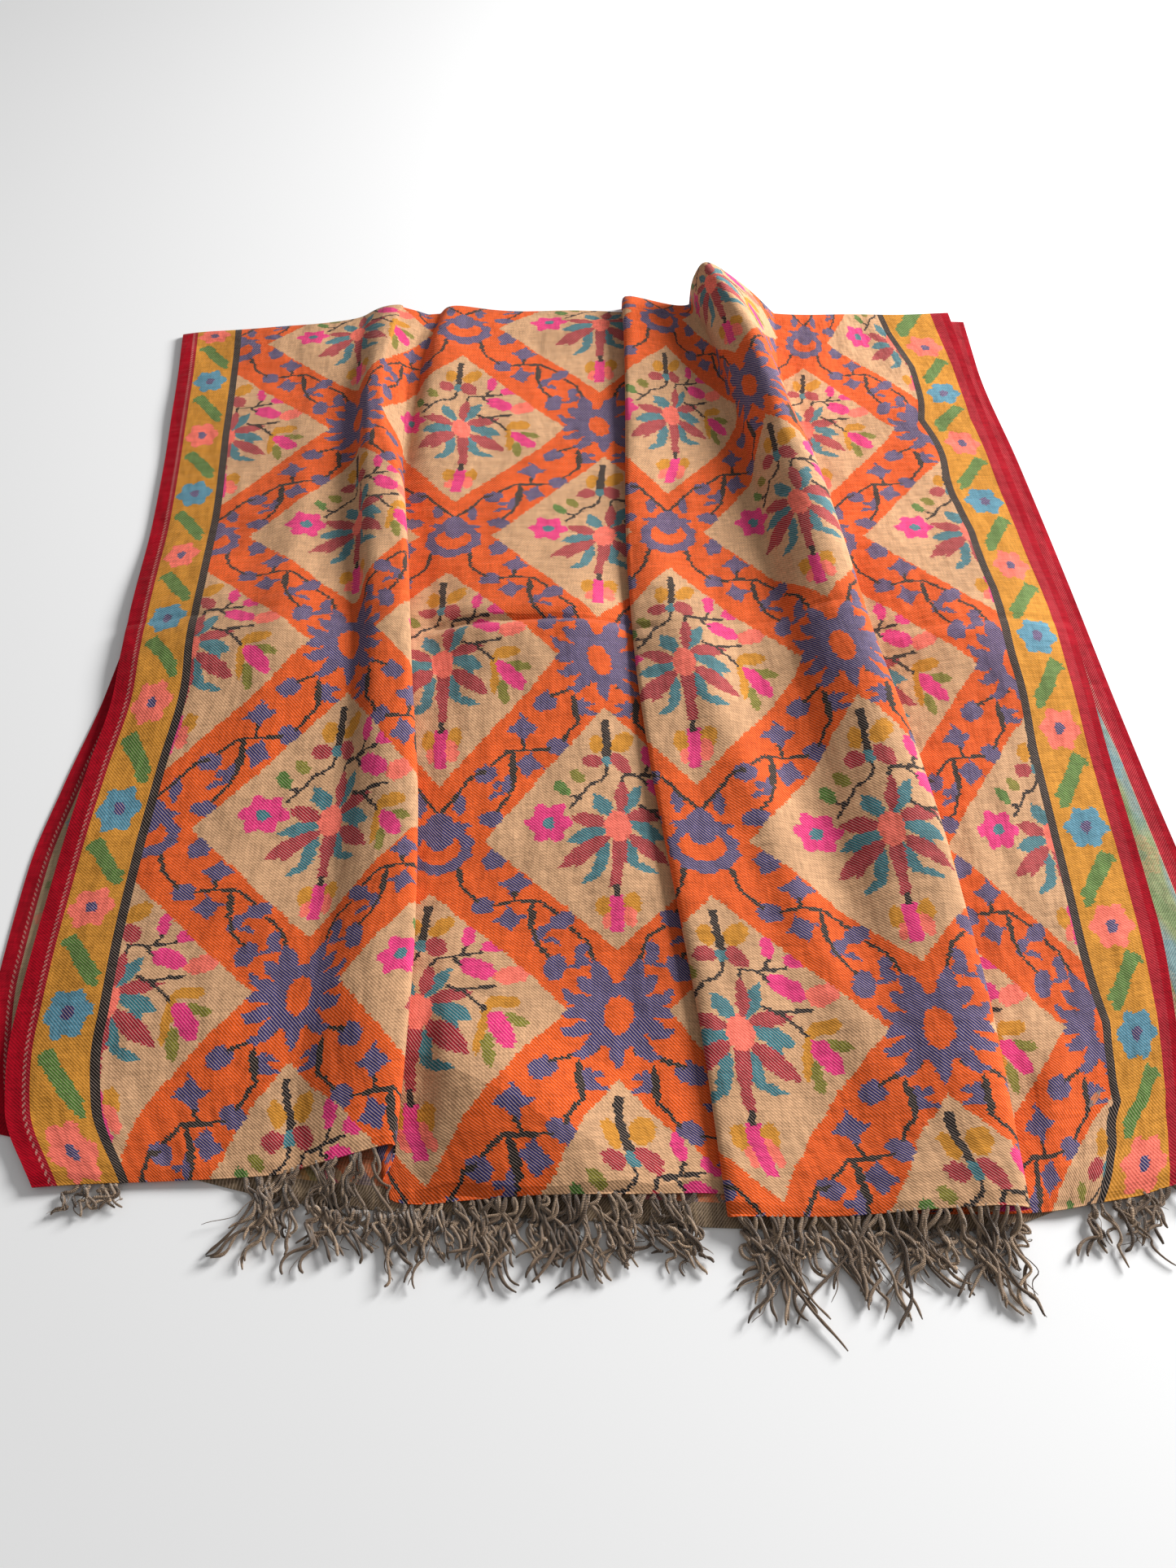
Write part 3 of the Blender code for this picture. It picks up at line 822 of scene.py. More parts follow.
@dataclass(frozen=True)
class KaniCloth:
    """Twill-woven wool with its motifs in coloured weft, on its face or its reverse."""

    name: str
    side: Side
    yarns: Palette = Palette()
    stitch: Point = (1.05, 1.68)             # smallest step of a motif's outline, across and along
    teeth: float = 3.8                       # how far the outlines are toothed
    twill: float = 1.7                       # from one diagonal line of the twill to the next
    warp_above: float = 0.45                 # height of those lines above which the pale warp shows
    shaded_gap_below: float = -0.35                 # the same for the gaps between them, which are darkened as painted shade
    # how much the painted shade in those gaps darkens the yarn
    gap_shade_depth: float = 0.27
    storage_crease: float = 469.0            # its distance from the fringed end
    pressed_at: tuple[float, float] = (435.0, 125.0)  # where it is sharpest, and half how wide that is
    facet_at: Point = (325.0, 88.0)          # the slanting facet's brow
    facet_across: Point = (0.504, 0.864)     # the direction across its brow
    facet_reach: Point = (88.0, 50.0)        # how far it falls before the brow and beyond it
    facet_middle: tuple[float, float] = (378.0, 92.0)  # its middle across the cloth, and half its width
    roughness: float = 0.85

    def material(self) -> bpy.types.Material:
        """Weave the whole cloth."""
        graph = Graph(self.name)
        uv = graph.make("UVMap", {"uv_map": CLOTH_MAP}, {})
        place = graph.make("VectorMath", {"operation": "SCALE"}, {"Vector": uv, "Scale": 1 / MM})
        stepped = self.stepped(graph, place)
        colour = self.field(graph, stepped)
        colour = self.borders(graph, place, stepped, colour)
        if self.side is Side.REVERSE:
            colour = self.reverse(graph, place, colour)
        looks = {
            "Base Color": self.threads(graph, place, colour),
            "Roughness": self.roughness,
            "Normal": self.relief(graph, place),
            "Specular IOR Level": 0.12,
            "Sheen Weight": 0.06,
            "Sheen Roughness": 0.4,
            "Sheen Tint": (1.0, 0.93, 0.86, 1.0),
        }
        return graph.dress(looks)

    @staticmethod
    def wandered(graph: Graph, place: Value, by: Value, scale: float, x: float, y: float) -> Value:
        """Shift a place by small amounts that vary over the cloth.

        Args:
            graph: The material's graph.
            place: What is shifted.
            by: Where the shifts are read.
            scale: How many of them to a millimetre.
            x: Their whole range across the cloth.
            y: The same along it.

        Returns:
            The shifted place.
        """
        shift = graph.vector("SUBTRACT", graph.noise(by, scale, 1.0, "Color"), (0.5, 0.5, 0.5))
        return graph.vector("ADD", place, graph.vector("MULTIPLY", shift, (x, y, 0.0)))

    def stepped(self, graph: Graph, place: Value) -> Value:
        """Let the weaver's hand wander a little, and step every outline by whole threads."""
        moved = self.wandered(graph, place, place, 0.03, 3.6, 3.6)
        moved = self.wandered(graph, moved, place, 0.2, 2.4, 2.4)
        teeth = graph.grain(place, 0.06, 0.42, 1.0) - 0.5
        moved = graph.vector("ADD", moved, graph.joined(teeth * self.teeth, 0.0))
        return graph.vector("MULTIPLY", graph.vector("SNAP", moved, (*self.stitch, 1.0)), (1.0, 1.0, 0.0))

    @staticmethod
    def inside(graph: Graph, place: Value, shapes: Sequence[Shape]) -> Value:
        """Mask of several shapes of one colour."""
        reach = shapes[0].reach(graph, place)
        for shape in shapes[1:]:
            reach = reach.least(shape.reach(graph, place))
        return reach < 1.0

    @staticmethod
    def rayed(graph: Graph, place: Value, centre: Point, size: float, depth: float, turn: float) -> Value:
        """Mask of a round flower with six rounded petals.

        Args:
            graph: The material's graph.
            place: Where it is drawn.
            centre: Its middle.
            size: Its mean radius.
            depth: How far the petals stand out.
            turn: How far they are turned.

        Returns:
            1 inside the flower.
        """
        here = graph.vector("SUBTRACT", place, (*centre, 1.0))
        x, y = graph.parts(here)
        wave = graph.math("COSINE", graph.math("ARCTAN2", y, x) * 6.0 + turn)
        return graph.vector("LENGTH", here, output="Value") < (wave * depth + size)

    @staticmethod
    def outward(graph: Graph, place: Value) -> Value:
        """How far a place is outside the black line of the border on its side."""
        x, _ = graph.parts(place)
        return abs(x - CLOTH_WIDTH / 2) - (CLOTH_WIDTH / 2 - FIRST_LINE)

    def field(self, graph: Graph, place: Value) -> Value:
        """Weave the diamonds, the bands between them and what grows on both."""
        x, y = graph.parts(place)
        across = (x - FIRST_LINE) / ACROSS
        down = NEAR_LINE - y / DOWN
        rising = (across + down).wrapped(2.0) - 1.0
        falling = (across - down).wrapped(2.0) - 1.0
        plant_x = (rising + falling) * (0.5 * ACROSS)
        plant_y = (falling - rising) * (0.5 * DOWN)
        diamond = (abs(plant_x) * (1 / PLANT_HALF[0]) + abs(plant_y) * (1 / PLANT_HALF[1])) < 1.0
        plant = self.plant(graph, graph.joined(plant_x, plant_y))
        return graph.mix(diamond, self.band(graph, across, down), plant)

    def plant(self, graph: Graph, place: Value) -> Value:
        """Weave one plant on its beige ground."""
        colour: Any = self.yarns.beige
        for yarn, shapes in PLANT.items():
            colour = graph.mix(self.inside(graph, place, shapes), colour, getattr(self.yarns, yarn))
        petals = self.rayed(graph, place, BLOOM, BLOOM_RADIUS, BLOOM_PETALS, 0.4)
        colour = graph.mix(petals, colour, self.yarns.magenta)
        heart = (Oval(*BLOOM, BLOOM_HEART, BLOOM_HEART),)
        return graph.mix(self.inside(graph, place, heart), colour, self.yarns.teal)

    def band(self, graph: Graph, across: Value, down: Value) -> Value:
        """Weave the orange bands with their two kinds of rosette and the vines between."""
        from_x = abs((across * 0.5 + 0.5).wrapped(1.0) - 0.5) * (2 * ACROSS)
        from_y = ((down * 0.5 + 0.5).wrapped(1.0) - 0.5) * (-2 * DOWN)
        away = abs(from_y)
        vines = graph.joined(from_x, away)
        ragged = self.wandered(graph, vines, vines, 0.15, 5.0, 5.0)
        above = from_y > 0.0
        colour: Any = self.yarns.orange
        for yarn, place in (("violet", ragged), ("black", vines)):
            upper = self.inside(graph, place, UPPER_VINES[yarn]) * above
            lower = self.inside(graph, place, LOWER_VINES[yarn]) * (1.0 - above)
            colour = graph.mix(upper + lower, colour, getattr(self.yarns, yarn))
        colour = self.small_rosette(graph, graph.joined(from_x, from_y), colour)
        large = graph.joined(ACROSS - from_x, (1.0 - above * 2.0) * (DOWN - away))
        colour = graph.mix(self.inside(graph, large, RAYS), colour, self.yarns.violet)
        return graph.mix(self.inside(graph, large, RAYS_HEART), colour, self.yarns.orange)

    def small_rosette(self, graph: Graph, place: Value, colour: Value) -> Value:
        """Weave a bud inside a scalloped ring."""
        here = graph.vector("ADD", place, (0.0, 6.0, -1.0))
        x, y = graph.parts(here)
        scallop = graph.math("COSINE", graph.math("ARCTAN2", y, x) * SCALLOPS) * SCALLOP_DEPTH
        squashed = graph.vector("MULTIPLY", here, (1 / RING_HALF[0], 1 / RING_HALF[1], 0.0))
        ring = (graph.vector("LENGTH", squashed, output="Value") + scallop) < 1.0
        colour = graph.mix(ring, colour, self.yarns.violet)
        colour = graph.mix(self.inside(graph, place, BUD_GROUND), colour, self.yarns.orange)
        return graph.mix(self.inside(graph, place, BUD), colour, self.yarns.violet)

    def borders(self, graph: Graph, place: Value, stepped: Value, colour: Value) -> Value:
        """Weave the two side borders over the field, their lines straight and their motifs stepped."""
        yarns = self.yarns
        straight = self.outward(graph, place)
        outward = self.outward(graph, stepped)
        x, y = graph.parts(stepped)
        right = x > CLOTH_WIDTH / 2
        colour = graph.mix(straight > LINE_INSIDE, colour, yarns.black)
        ground = yarns.ochre if self.side is Side.FACE else yarns.taupe
        colour = graph.mix(straight > LINE_OUTSIDE, colour, ground)
        repeat = LEFT_REPEAT - right * (LEFT_REPEAT - RIGHT_REPEAT)
        cell = (y - FIRST_FLOWER) / repeat + 0.5
        flower = graph.joined(outward, (cell.wrapped(1.0) - 0.5) * repeat * FLOWER_PRESS)
        petals = self.rayed(graph, flower, (FLOWER_AT, 0.0), FLOWER_RADIUS, FLOWER_PETALS, 0.6)
        petal_yarn = graph.mix(cell.wrapped(2.0) > 1.0, yarns.salmon, yarns.sky)
        colour = graph.mix(petals, colour, petal_yarn)
        colour = graph.mix(self.inside(graph, flower, FLOWER_HEART), colour, yarns.violet)
        between = graph.joined(outward, ((cell + 0.5).wrapped(1.0) - 0.5) * repeat)
        colour = graph.mix(self.inside(graph, between, LEAVES), colour, yarns.green)
        return graph.mix(straight > right + MARGIN, colour, yarns.rose)

    def reverse(self, graph: Graph, place: Value, colour: Value) -> Value:
        """Blur the motifs with the threads that cross behind them, and end the cloth in a dark band of the
        fringe's first threads that is partly painted shade.
        """
        yarns = self.yarns
        x, y = graph.parts(place)
        floats = graph.grain(place, 0.25, 0.9)
        blurred = graph.mix(floats * 0.8 + 0.1, colour, yarns.taupe)
        colour = graph.mix(self.outward(graph, place) < FIRST_LINE - BLURRED, colour, blurred)
        tone = graph.grain(place, 0.03, 0.011, 1.0)
        streak = graph.mix((tone - 0.42) * 8.0, yarns.faded_green, yarns.faded_teal)
        strip = (x > CLOTH_WIDTH - STRIP[0]) * (x < CLOTH_WIDTH - STRIP[1]) * (floats * 0.5 + 0.5)
        colour = graph.mix(strip, colour, streak)
        wider = ((WIDER_BEFORE - y) * 0.1).most(0.0).least(WIDER_BY)
        colour = graph.mix(x > CLOTH_WIDTH - REVERSE_MARGIN - wider, colour, yarns.rose)
        # The far end's band of dark yarn roots is partly painted shade, for the shadow beside the upper
        # half's edge
        roots_and_shade = graph.mix(graph.grain(place, 0.8, 0.05), yarns.black, yarns.taupe)
        return graph.mix(y > 2 * HALF_LENGTH - SHADED_ROOTS, colour, roots_and_shade)

    def threads(self, graph: Graph, place: Value, colour: Value) -> Value:
        """Let the pale warp show between the twill's lines, darken the gaps between them with painted shade,
        and vary the yarn.
        """
        lines = self.twill_lines(graph, place)
        x, y = graph.parts(place)
        depth = graph.make("RGBToBW", {}, {"Color": colour})
        share = (0.54 - depth * 1.7).least(depth * 14.0 + 0.2).most(0.08)
        margin = self.outward(graph, place) > FIRST_LINE - PLAIN
        share = share * (1.0 - margin * 0.8)
        colour = graph.mix((lines > self.warp_above) * share, colour, self.yarns.pale)
        selvedge = (x < LEFT_SELVEDGE).most(x > CLOTH_WIDTH - RIGHT_SELVEDGE)
        colour = graph.mix(selvedge, colour, self.yarns.crimson)
        dashes = graph.math("SINE", (x - y) * 1.5) > 0.2
        flecks = (abs(x - (LEFT_SELVEDGE + 0.5)) < 1.2) * dashes
        colour = graph.mix(flecks * 0.35, colour, self.yarns.pale)
        weft = graph.grain(place, 0.09, 0.9, 3.0) - 0.5
        warp = graph.grain(place, 0.9, 0.09, 3.0) - 0.5
        soft = graph.noise(place, 0.014) - 0.5
        # The gaps between the twill's lines get painted shade, standing in for the shadow in the weave's
        # hollows
        gap_shade = (lines < self.shaded_gap_below) * -self.gap_shade_depth
        return graph.mix(1.0, colour, weft * 0.7 + warp * 0.55 + soft * 0.35 + gap_shade + 1.07, "MULTIPLY")

    def twill_lines(self, graph: Graph, place: Value) -> Value:
        """Height of the twill's slanting lines."""
        x, y = graph.parts(place)
        return graph.math("SINE", (x + y) * (2 * math.pi / (self.twill * math.sqrt(2))))

    def relief(self, graph: Graph, place: Value) -> Value:
        """Raise the twill's lines and the slubs a little, over soft wrinkles and two pressed folds."""
        thread = self.twill_lines(graph, place) * 0.5 + graph.grain(place, 0.3, 1.2) * 1.2
        fine = graph.make("Bump", {}, {"Strength": 0.6, "Distance": 0.0002, "Height": thread})
        wrinkles = graph.grain(place, 0.03, 0.014, 3.0) + graph.grain(place, 0.012, 0.075) * 0.35
        x, y = graph.parts(self.wandered(graph, place, place, 0.02, 0.0, 9.0))
        half = self.storage_crease / 2
        from_crease = abs((y - self.storage_crease).wrapped(self.storage_crease) - half) - half
        pressed_in = (abs(x - self.pressed_at[0]) < self.pressed_at[1]) * 0.65 + 0.3
        groove = (1.0 + from_crease * (1 / 7.0)).most(0.0) * pressed_in
        beyond = (x - self.facet_at[0]) * self.facet_across[0] + (y - self.facet_at[1]) * self.facet_across[1]
        facet = (beyond * (1 / self.facet_reach[0]) + 1.0).least(1.0 - beyond * (1 / self.facet_reach[1]))
        off = abs(x - self.facet_middle[0]) * (1 / self.facet_middle[1])
        window = (1.0 - graph.math("POWER", off, 3.0)).most(0.0)
        height = wrinkles - groove * 0.95 + facet.most(0.0) * window * 2.3
        settings = {"Strength": 0.7, "Distance": 0.006, "Height": height, "Normal": fine}
        return graph.make("Bump", {}, settings)


@dataclass(frozen=True)
class Yarn:
    """Loose wool of the fringe, with the colours of its locks mixed."""

    name: str
    dark: Colour = linear(88, 70, 55)
    mean: Colour = linear(138, 114, 93)
    light: Colour = linear(180, 152, 125)
    pale: Colour = linear(214, 182, 150)
    roughness: float = 0.92

    def material(self) -> bpy.types.Material:
        """Spin the yarn, each strand in a shade of its own."""
        graph = Graph(self.name)
        uv = graph.make("UVMap", {"uv_map": CLOTH_MAP}, {})
        across, along = graph.parts(uv)
        shade = graph.make("TexWhiteNoise", {"noise_dimensions": "1D"}, {"W": graph.math("FLOOR", across)})
        stops = {"stops": [(0.0, self.dark), (0.45, self.mean), (0.93, self.light), (0.985, self.pale)]}
        colour = graph.make("ValToRGB", stops, {"Fac": shade})
        ply = graph.math("SINE", (across * 2.0 + along * 1.1) * (2 * math.pi))
        fuzz = graph.grain(uv, 5.0, 0.7, 4.0)
        colour = graph.mix(1.0, colour, ply * 0.2 + 0.9, "MULTIPLY")
        colour = graph.mix(1.0, colour, fuzz + 0.5, "MULTIPLY")
        bump = graph.make("Bump", {}, {"Strength": 0.8, "Distance": 0.0004, "Height": ply + fuzz * 2.0})
        looks = {
            "Base Color": colour,
            "Roughness": self.roughness,
            "Normal": bump,
            "Specular IOR Level": 0.2,
            "Sheen Weight": 0.5,
            "Sheen Roughness": 0.4,
        }
        return graph.dress(looks)


@dataclass(frozen=True)
class Ground:
    """The pale surface under the shawl."""

    name: str = "ground"
    colour: Colour = linear(250, 250, 250)
    roughness: float = 0.7

    def material(self) -> bpy.types.Material:
        """Paint it."""
        looks = {"Base Color": self.colour, "Roughness": self.roughness, "Specular IOR Level": 0.2}
        return Graph(self.name).dress(looks)


# Meshes


def make_mesh(
    name: str,
    vertices: np.ndarray,
    faces: Sequence[Sequence[int]],
    cloth: np.ndarray,
    material: bpy.types.Material,
    sharp: float = 50.0,
) -> bpy.types.Object:
    """Make one dressed object.

    Args:
        name: Its name.
        vertices: Points in metres, in the shawl's own frame.
        faces: Corners of each face.
        cloth: Cloth coordinates of each vertex.
        material: Its finish.
        sharp: Edges that turn further than this stay crisp, in degrees.

    Returns:
        The object.
    """
    mesh = bpy.data.meshes.new(name)
    mesh.from_pydata(vertices.tolist(), [], faces)
    mesh.shade_smooth()
    mesh.set_sharp_from_angle(angle=math.radians(sharp))
    layer = mesh.uv_layers.new(name=CLOTH_MAP)
    corners = np.empty(len(mesh.loops), np.int32)
    mesh.loops.foreach_get("vertex_index", corners)
    layer.data.foreach_set("uv", np.ascontiguousarray(cloth[corners], dtype=np.float32).ravel())
    mesh.materials.append(material)
    made = bpy.data.objects.new(name, mesh)
    bpy.context.collection.objects.link(made)
    LOG.info("made %s with %d faces", name, len(mesh.polygons))
    return made


def grid_faces(rows: int, columns: int) -> list[list[int]]:
    """Index the faces of a closed sheet between two grids of points.

    Args:
        rows: Rows of each grid.
        columns: Columns of each grid.

    Returns:
        The faces of both sides and of the rim.
    """
    index = np.arange(rows * columns).reshape(rows, columns)
    corner = index[:-1, :-1].ravel()
    upper = np.column_stack([corner, corner + 1, corner + columns + 1, corner + columns])
    below = rows * columns
    ring = np.concatenate([index[0], index[1:, -1], index[-1, -2::-1], index[-2:0:-1, 0]])
    after = np.roll(ring, -1)
    rim = np.column_stack([ring, below + ring, below + after, after])
    return np.vstack([upper, below + upper[:, ::-1], rim]).tolist()


def normals_of(grid: np.ndarray) -> np.ndarray:
    """Outward direction of a surface of rows at each of its points."""
    out = np.cross(np.gradient(grid, axis=1), np.gradient(grid, axis=0))
    return out / np.maximum(np.linalg.norm(out, axis=2, keepdims=True), 1e-9)


def own_frame(points: np.ndarray) -> np.ndarray:
    """Move points in the tables' millimetres to the shawl's own frame, in metres."""
    return (points - np.array([*CENTRE, 0.0])) * MM


def bell(value: np.ndarray, middle: float | np.ndarray, width: float) -> np.ndarray:
    """A soft hump, 1 at its middle."""
    return np.exp(-(((value - middle) / width) ** 2))


def humps(value: np.ndarray, *rows: tuple[float, float, float]) -> np.ndarray:
    """Sum of soft humps from rows of height, middle and width."""
    return sum(height * bell(value, middle, width) for height, middle, width in rows)


def soft_step(value: np.ndarray, at: float, steep: float) -> np.ndarray:
    """A soft step from 0 to 1, or from 1 to 0 where steep is negative."""
    return 1 / (1 + np.exp(-(value - at) * steep))


@dataclass(frozen=True)
class Slant:
    """A line over the cloth that a ridge or a facet follows."""

    x: float
    y: float
    across: Point              # the direction across the line

    def off(self, x: np.ndarray, y: np.ndarray) -> np.ndarray:
        """How far places lie to one side of the line."""
        return (x - self.x) * self.across[0] + (y - self.y) * self.across[1]

    def down(self, x: np.ndarray, y: np.ndarray) -> np.ndarray:
        """How far along the line places lie."""
        return (y - self.y) * self.across[0] - (x - self.x) * self.across[1]


@dataclass(frozen=True)
class Swell:
    """A long soft hump of the cloth along a leaning line."""

    x: float
    y: float
    lean: float                # how far its line moves in x for each millimetre of y
    high: float
    wide: float
    long: float

    def lift(self, x: np.ndarray, y: np.ndarray) -> np.ndarray:
        """How far it lifts the cloth at each place."""
        line = self.x + self.lean * (y - self.y)
        return self.high * bell(x, line, self.wide) * bell(y, self.y, self.long)


FACET = Slant(-132, 400, (0.49, 0.87))           # brow of the second panel's facet
FACET_HIGH = 12.5
FACET_FRONT = 88.0                               # how far it falls before its brow
FACET_BACK = 60.0
THIRD_RIDGE = Slant(78, 810, (0.961, 0.275))     # the third panel's soft ridge
RUMPLE = Slant(270, 327, (0.739, -0.674))        # the rumple near the front of the fourth panel
LEFT_SWELL = Swell(-253, 850, -0.02, high=4.0, wide=18, long=190)
RIGHT_SWELL = Swell(202, 700, -0.19, high=5.0, wide=40, long=330)
STORAGE_Y = 774.0                                # the storage crease across the middle
HEM_Y = 312.0                                    # a low ridge beside the fringed end
LEAST_DEPTH = 1.6                                # how deep a trough may be where the cloth lies flat

# Steering points between which the panels' own creases lie
FIRST_ENDS = 5
SECOND_PANEL = (18, 26)
THIRD_PANEL = (36, 41)
FOURTH_STARTS = 53
RUMPLE_STARTS = 53.6


@dataclass
class UpperHalf:
    """The pleated upper half, as one thin shell."""

    name: str = "cloth_upper"
    rows: int = 166
    wrap_rows: int = 14
    spacing: float = 4.6

    def __post_init__(self) -> None:
        """Work out the middle of the wall and its cloth coordinates."""
        self.alongs = np.linspace(0, HALF_LENGTH, self.rows)
        steers = [section(along) for along in self.alongs]
        self.places = self.columns(steers[:: self.rows // 8])
        grid = []
        for steer, along in zip(steers, self.alongs):
            x, z, near, far = bend(steer, self.places).T
            y = near + (far - near) * along / HALF_LENGTH
            grid.append(np.column_stack([x, y, z + BED]))
        flat = np.array(grid)
        steps = np.linalg.norm(np.diff(flat, axis=1), axis=2)
        self.arcs = np.pad(np.cumsum(steps, axis=1), ((0, 0), (1, 0)))
        across = self.across_cloth()
        cloth = np.dstack([across, self.along_cloth(across)])
        flat = flat + normals_of(flat) * self.creases(flat)[..., None]
        self.middle, self.cloth = self.wrapped(flat, cloth)

    def columns(self, steers: list[np.ndarray]) -> np.ndarray:
        """Divide each stretch of the section by its length.

        Args:
            steers: Sections at a few places along the cloth.

        Returns:
            Places along the section, counted in steering points.
        """
        places: list[float] = []
        for i in range(LAST_POINT):
            curves = [bend(steer, np.linspace(i, i + 1, 5))[:, :2] for steer in steers]
            length = max(np.linalg.norm(np.diff(curve, axis=0), axis=1).sum() for curve in curves)
            count = max(2, round(length / self.spacing))
            places += [i + k / count for k in range(count)]
        return np.array([*places, float(LAST_POINT)])

    @staticmethod
    def line(number: int) -> float:
        """Cloth coordinate of one of the lattice's lines."""
        return FIRST_LINE + number * ACROSS

    def across_cloth(self) -> np.ndarray:
        """The cloth's coordinate from its left selvedge, at every point of the grid."""
        where, *columns = CROSSINGS.rows.T
        lines = np.array([np.interp(self.alongs, where, column) for column in columns]).T
        ends = (FLANK_END, SECOND_SHOWS, SECOND_HIDES, THIRD_SHOWS, THIRD_HIDES, FOURTH_SHOWS)
        result = []
        for arc, (*at, fourth, last) in zip(self.arcs, lines):
            edge1, show2, hide2, show3, hide3, show4 = np.interp(ends, self.places, arc)
            known = [(0.0, 0.0), (at[0], FIRST_LINE), (at[1], self.line(1))]
            known.append((edge1, self.line(1) + FLANK_STRETCH * (edge1 - at[1])))
            if show2 < at[2]:
                known.append((show2, self.line(2) - (at[2] - show2)))
            known += [
                (at[2], self.line(2)),
                (at[3], self.line(3)),
                (hide2, self.line(3) + hide2 - at[3]),
                (show3, self.line(4) - (at[4] - show3)),
                (at[4], self.line(4)),
                (at[5], self.line(5)),
                (hide3, self.line(5) + max(hide3 - at[5], 1.0)),
                (show4, fourth),
                (last, CLOTH_WIDTH - FIRST_LINE),
                (arc[-1], CLOTH_WIDTH),
            ]
            result.append(np.interp(arc, *np.array(known).T))
        return np.array(result)

    def along_cloth(self, across: np.ndarray) -> np.ndarray:
        """The cloth's coordinate from its fringed end, at every point of the grid.

        Args:
            across: The other coordinate.

        Returns:
            The coordinate along the cloth.
        """
        lines = [self.line(k) for k in range(1, 7)]
        level, *places = LEVELS.rows.T
        columns = np.array([np.interp(self.alongs, place, level) for place in places]).T
        return np.array([np.interp(u, lines, values) for u, values in zip(across, columns)])

    def creases(self, flat: np.ndarray) -> np.ndarray:
        """How far the cloth stands off its even form: soft waves, troughs and ridges.

        Args:
            flat: The even form's points.

        Returns:
            One height for each point.
        """
        x, y, z = flat[..., 0], flat[..., 1], flat[..., 2]
        place = np.broadcast_to(self.places, x.shape)
        second = soft_step(place, SECOND_PANEL[0], 4) * soft_step(place, SECOND_PANEL[1], -4)
        third = soft_step(place, THIRD_PANEL[0], 5) * soft_step(place, THIRD_PANEL[1], -4)
        lift = 0.6 + 1.1 * np.sin(x / 41 + y / 97 + 1.3) * np.sin(y / 63 - x / 170 + 0.4)
        lift += 0.6 * np.sin(x / 19 - y / 55) * np.sin(y / 31 + x / 83)
        storage = y - (STORAGE_Y + 4 * np.sin(x / 60))
        lift += (0.6 + 3.2 * second) * humps(storage, (0.6, -13, 9), (0.4, 13, 9), (-1, 0, 5))
        lift += FACET_HIGH * second * self.facet(FACET.off(x, y)) * bell(x, -48, 62)
        ridge = humps(THIRD_RIDGE.off(x, y), (6.5, -18, 18), (-2.0, 20, 18))
        lift += third * ridge * bell(y, 590, 260)
        lift += (place < FIRST_ENDS) * LEFT_SWELL.lift(x, y)
        lift += (place > FOURTH_STARTS) * RIGHT_SWELL.lift(x, y)
        rumple = humps(RUMPLE.off(x, y), (4.0, -12, 13), (-2.5, 13, 12))
        lift += rumple * (place > RUMPLE_STARTS) * bell(RUMPLE.down(x, y), 42, 48)
        lift += bell(y, HEM_Y, 4)
        return np.maximum(lift, -np.maximum(LEAST_DEPTH, 0.6 * (z - BED))) * self.shown(place)

    @staticmethod
    def facet(off: np.ndarray) -> np.ndarray:
        """Height of the slanting facet, 1 at its slightly blunted brow."""
        height = np.where(off < 0, np.maximum(1 + off / FACET_FRONT, 0), bell(off, 0, FACET_BACK))
        return np.minimum(height, 1 - 0.06 * bell(off, 0, 10))

    @staticmethod
    def shown(place: np.ndarray) -> np.ndarray:
        """1 on the panels that show, and 0 in the tucks between them, which stay even."""
        shown = np.ones_like(place)
        tucks = (
            (FLANK_END, SECOND_SHOWS + 1.5),
            (SECOND_HIDES - 0.5, THIRD_SHOWS),
            (THIRD_HIDES, FOURTH_SHOWS + 0.5),
        )
        for start, stop in tucks:
            shown = shown * (1 - soft_step(place, start, 6) * soft_step(place, stop, -6))
        return shown

    def wrapped(self, flat: np.ndarray, cloth: np.ndarray) -> tuple[np.ndarray, np.ndarray]:
        """Carry the last row over the rounded fold at the back and down to the floor.

        Args:
            flat: Rows from the fringe to the fold.
            cloth: Their cloth coordinates.

        Returns:
            Both, with the fold's rows added.
        """
        rows, maps = list(flat), list(cloth)
        x, y, z = flat[-1].T
        reach = FOLD_REACH * np.tanh(z / FOLD_REACH)
        for k in range(1, self.wrap_rows + 1):
            turn = 0.5 * math.pi * k / self.wrap_rows
            rows.append(np.column_stack([x, y + reach * math.sin(turn), z * math.cos(turn)]))
            step = np.linalg.norm(rows[-1] - rows[-2], axis=1)
            maps.append(maps[-1] + np.column_stack([np.zeros_like(step), step]))
        return np.array(rows), np.array(maps)

    def build(self, finish: KaniCloth, lower: bpy.types.Object) -> bpy.types.Object:
        """Make the shell in place of its solid.

        Args:
            finish: The cloth's face.
            lower: The half that it rests on; not used.

        Returns:
            The shell.
        """
        half = 0.5 * WALL * normals_of(self.middle)
        sides = []
        for offset in (half, -half):
            side = self.middle + offset
            side[-1, :, 2] = 0.0
            sides.append(own_frame(side).reshape(-1, 3))
        faces = grid_faces(*self.middle.shape[:2])
        cloth = np.tile(self.cloth.reshape(-1, 2), (2, 1)) * MM
        made = make_mesh(self.name, np.vstack(sides), faces, cloth, finish.material())
        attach(made, BODY)
        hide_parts("upper_half")
        return made


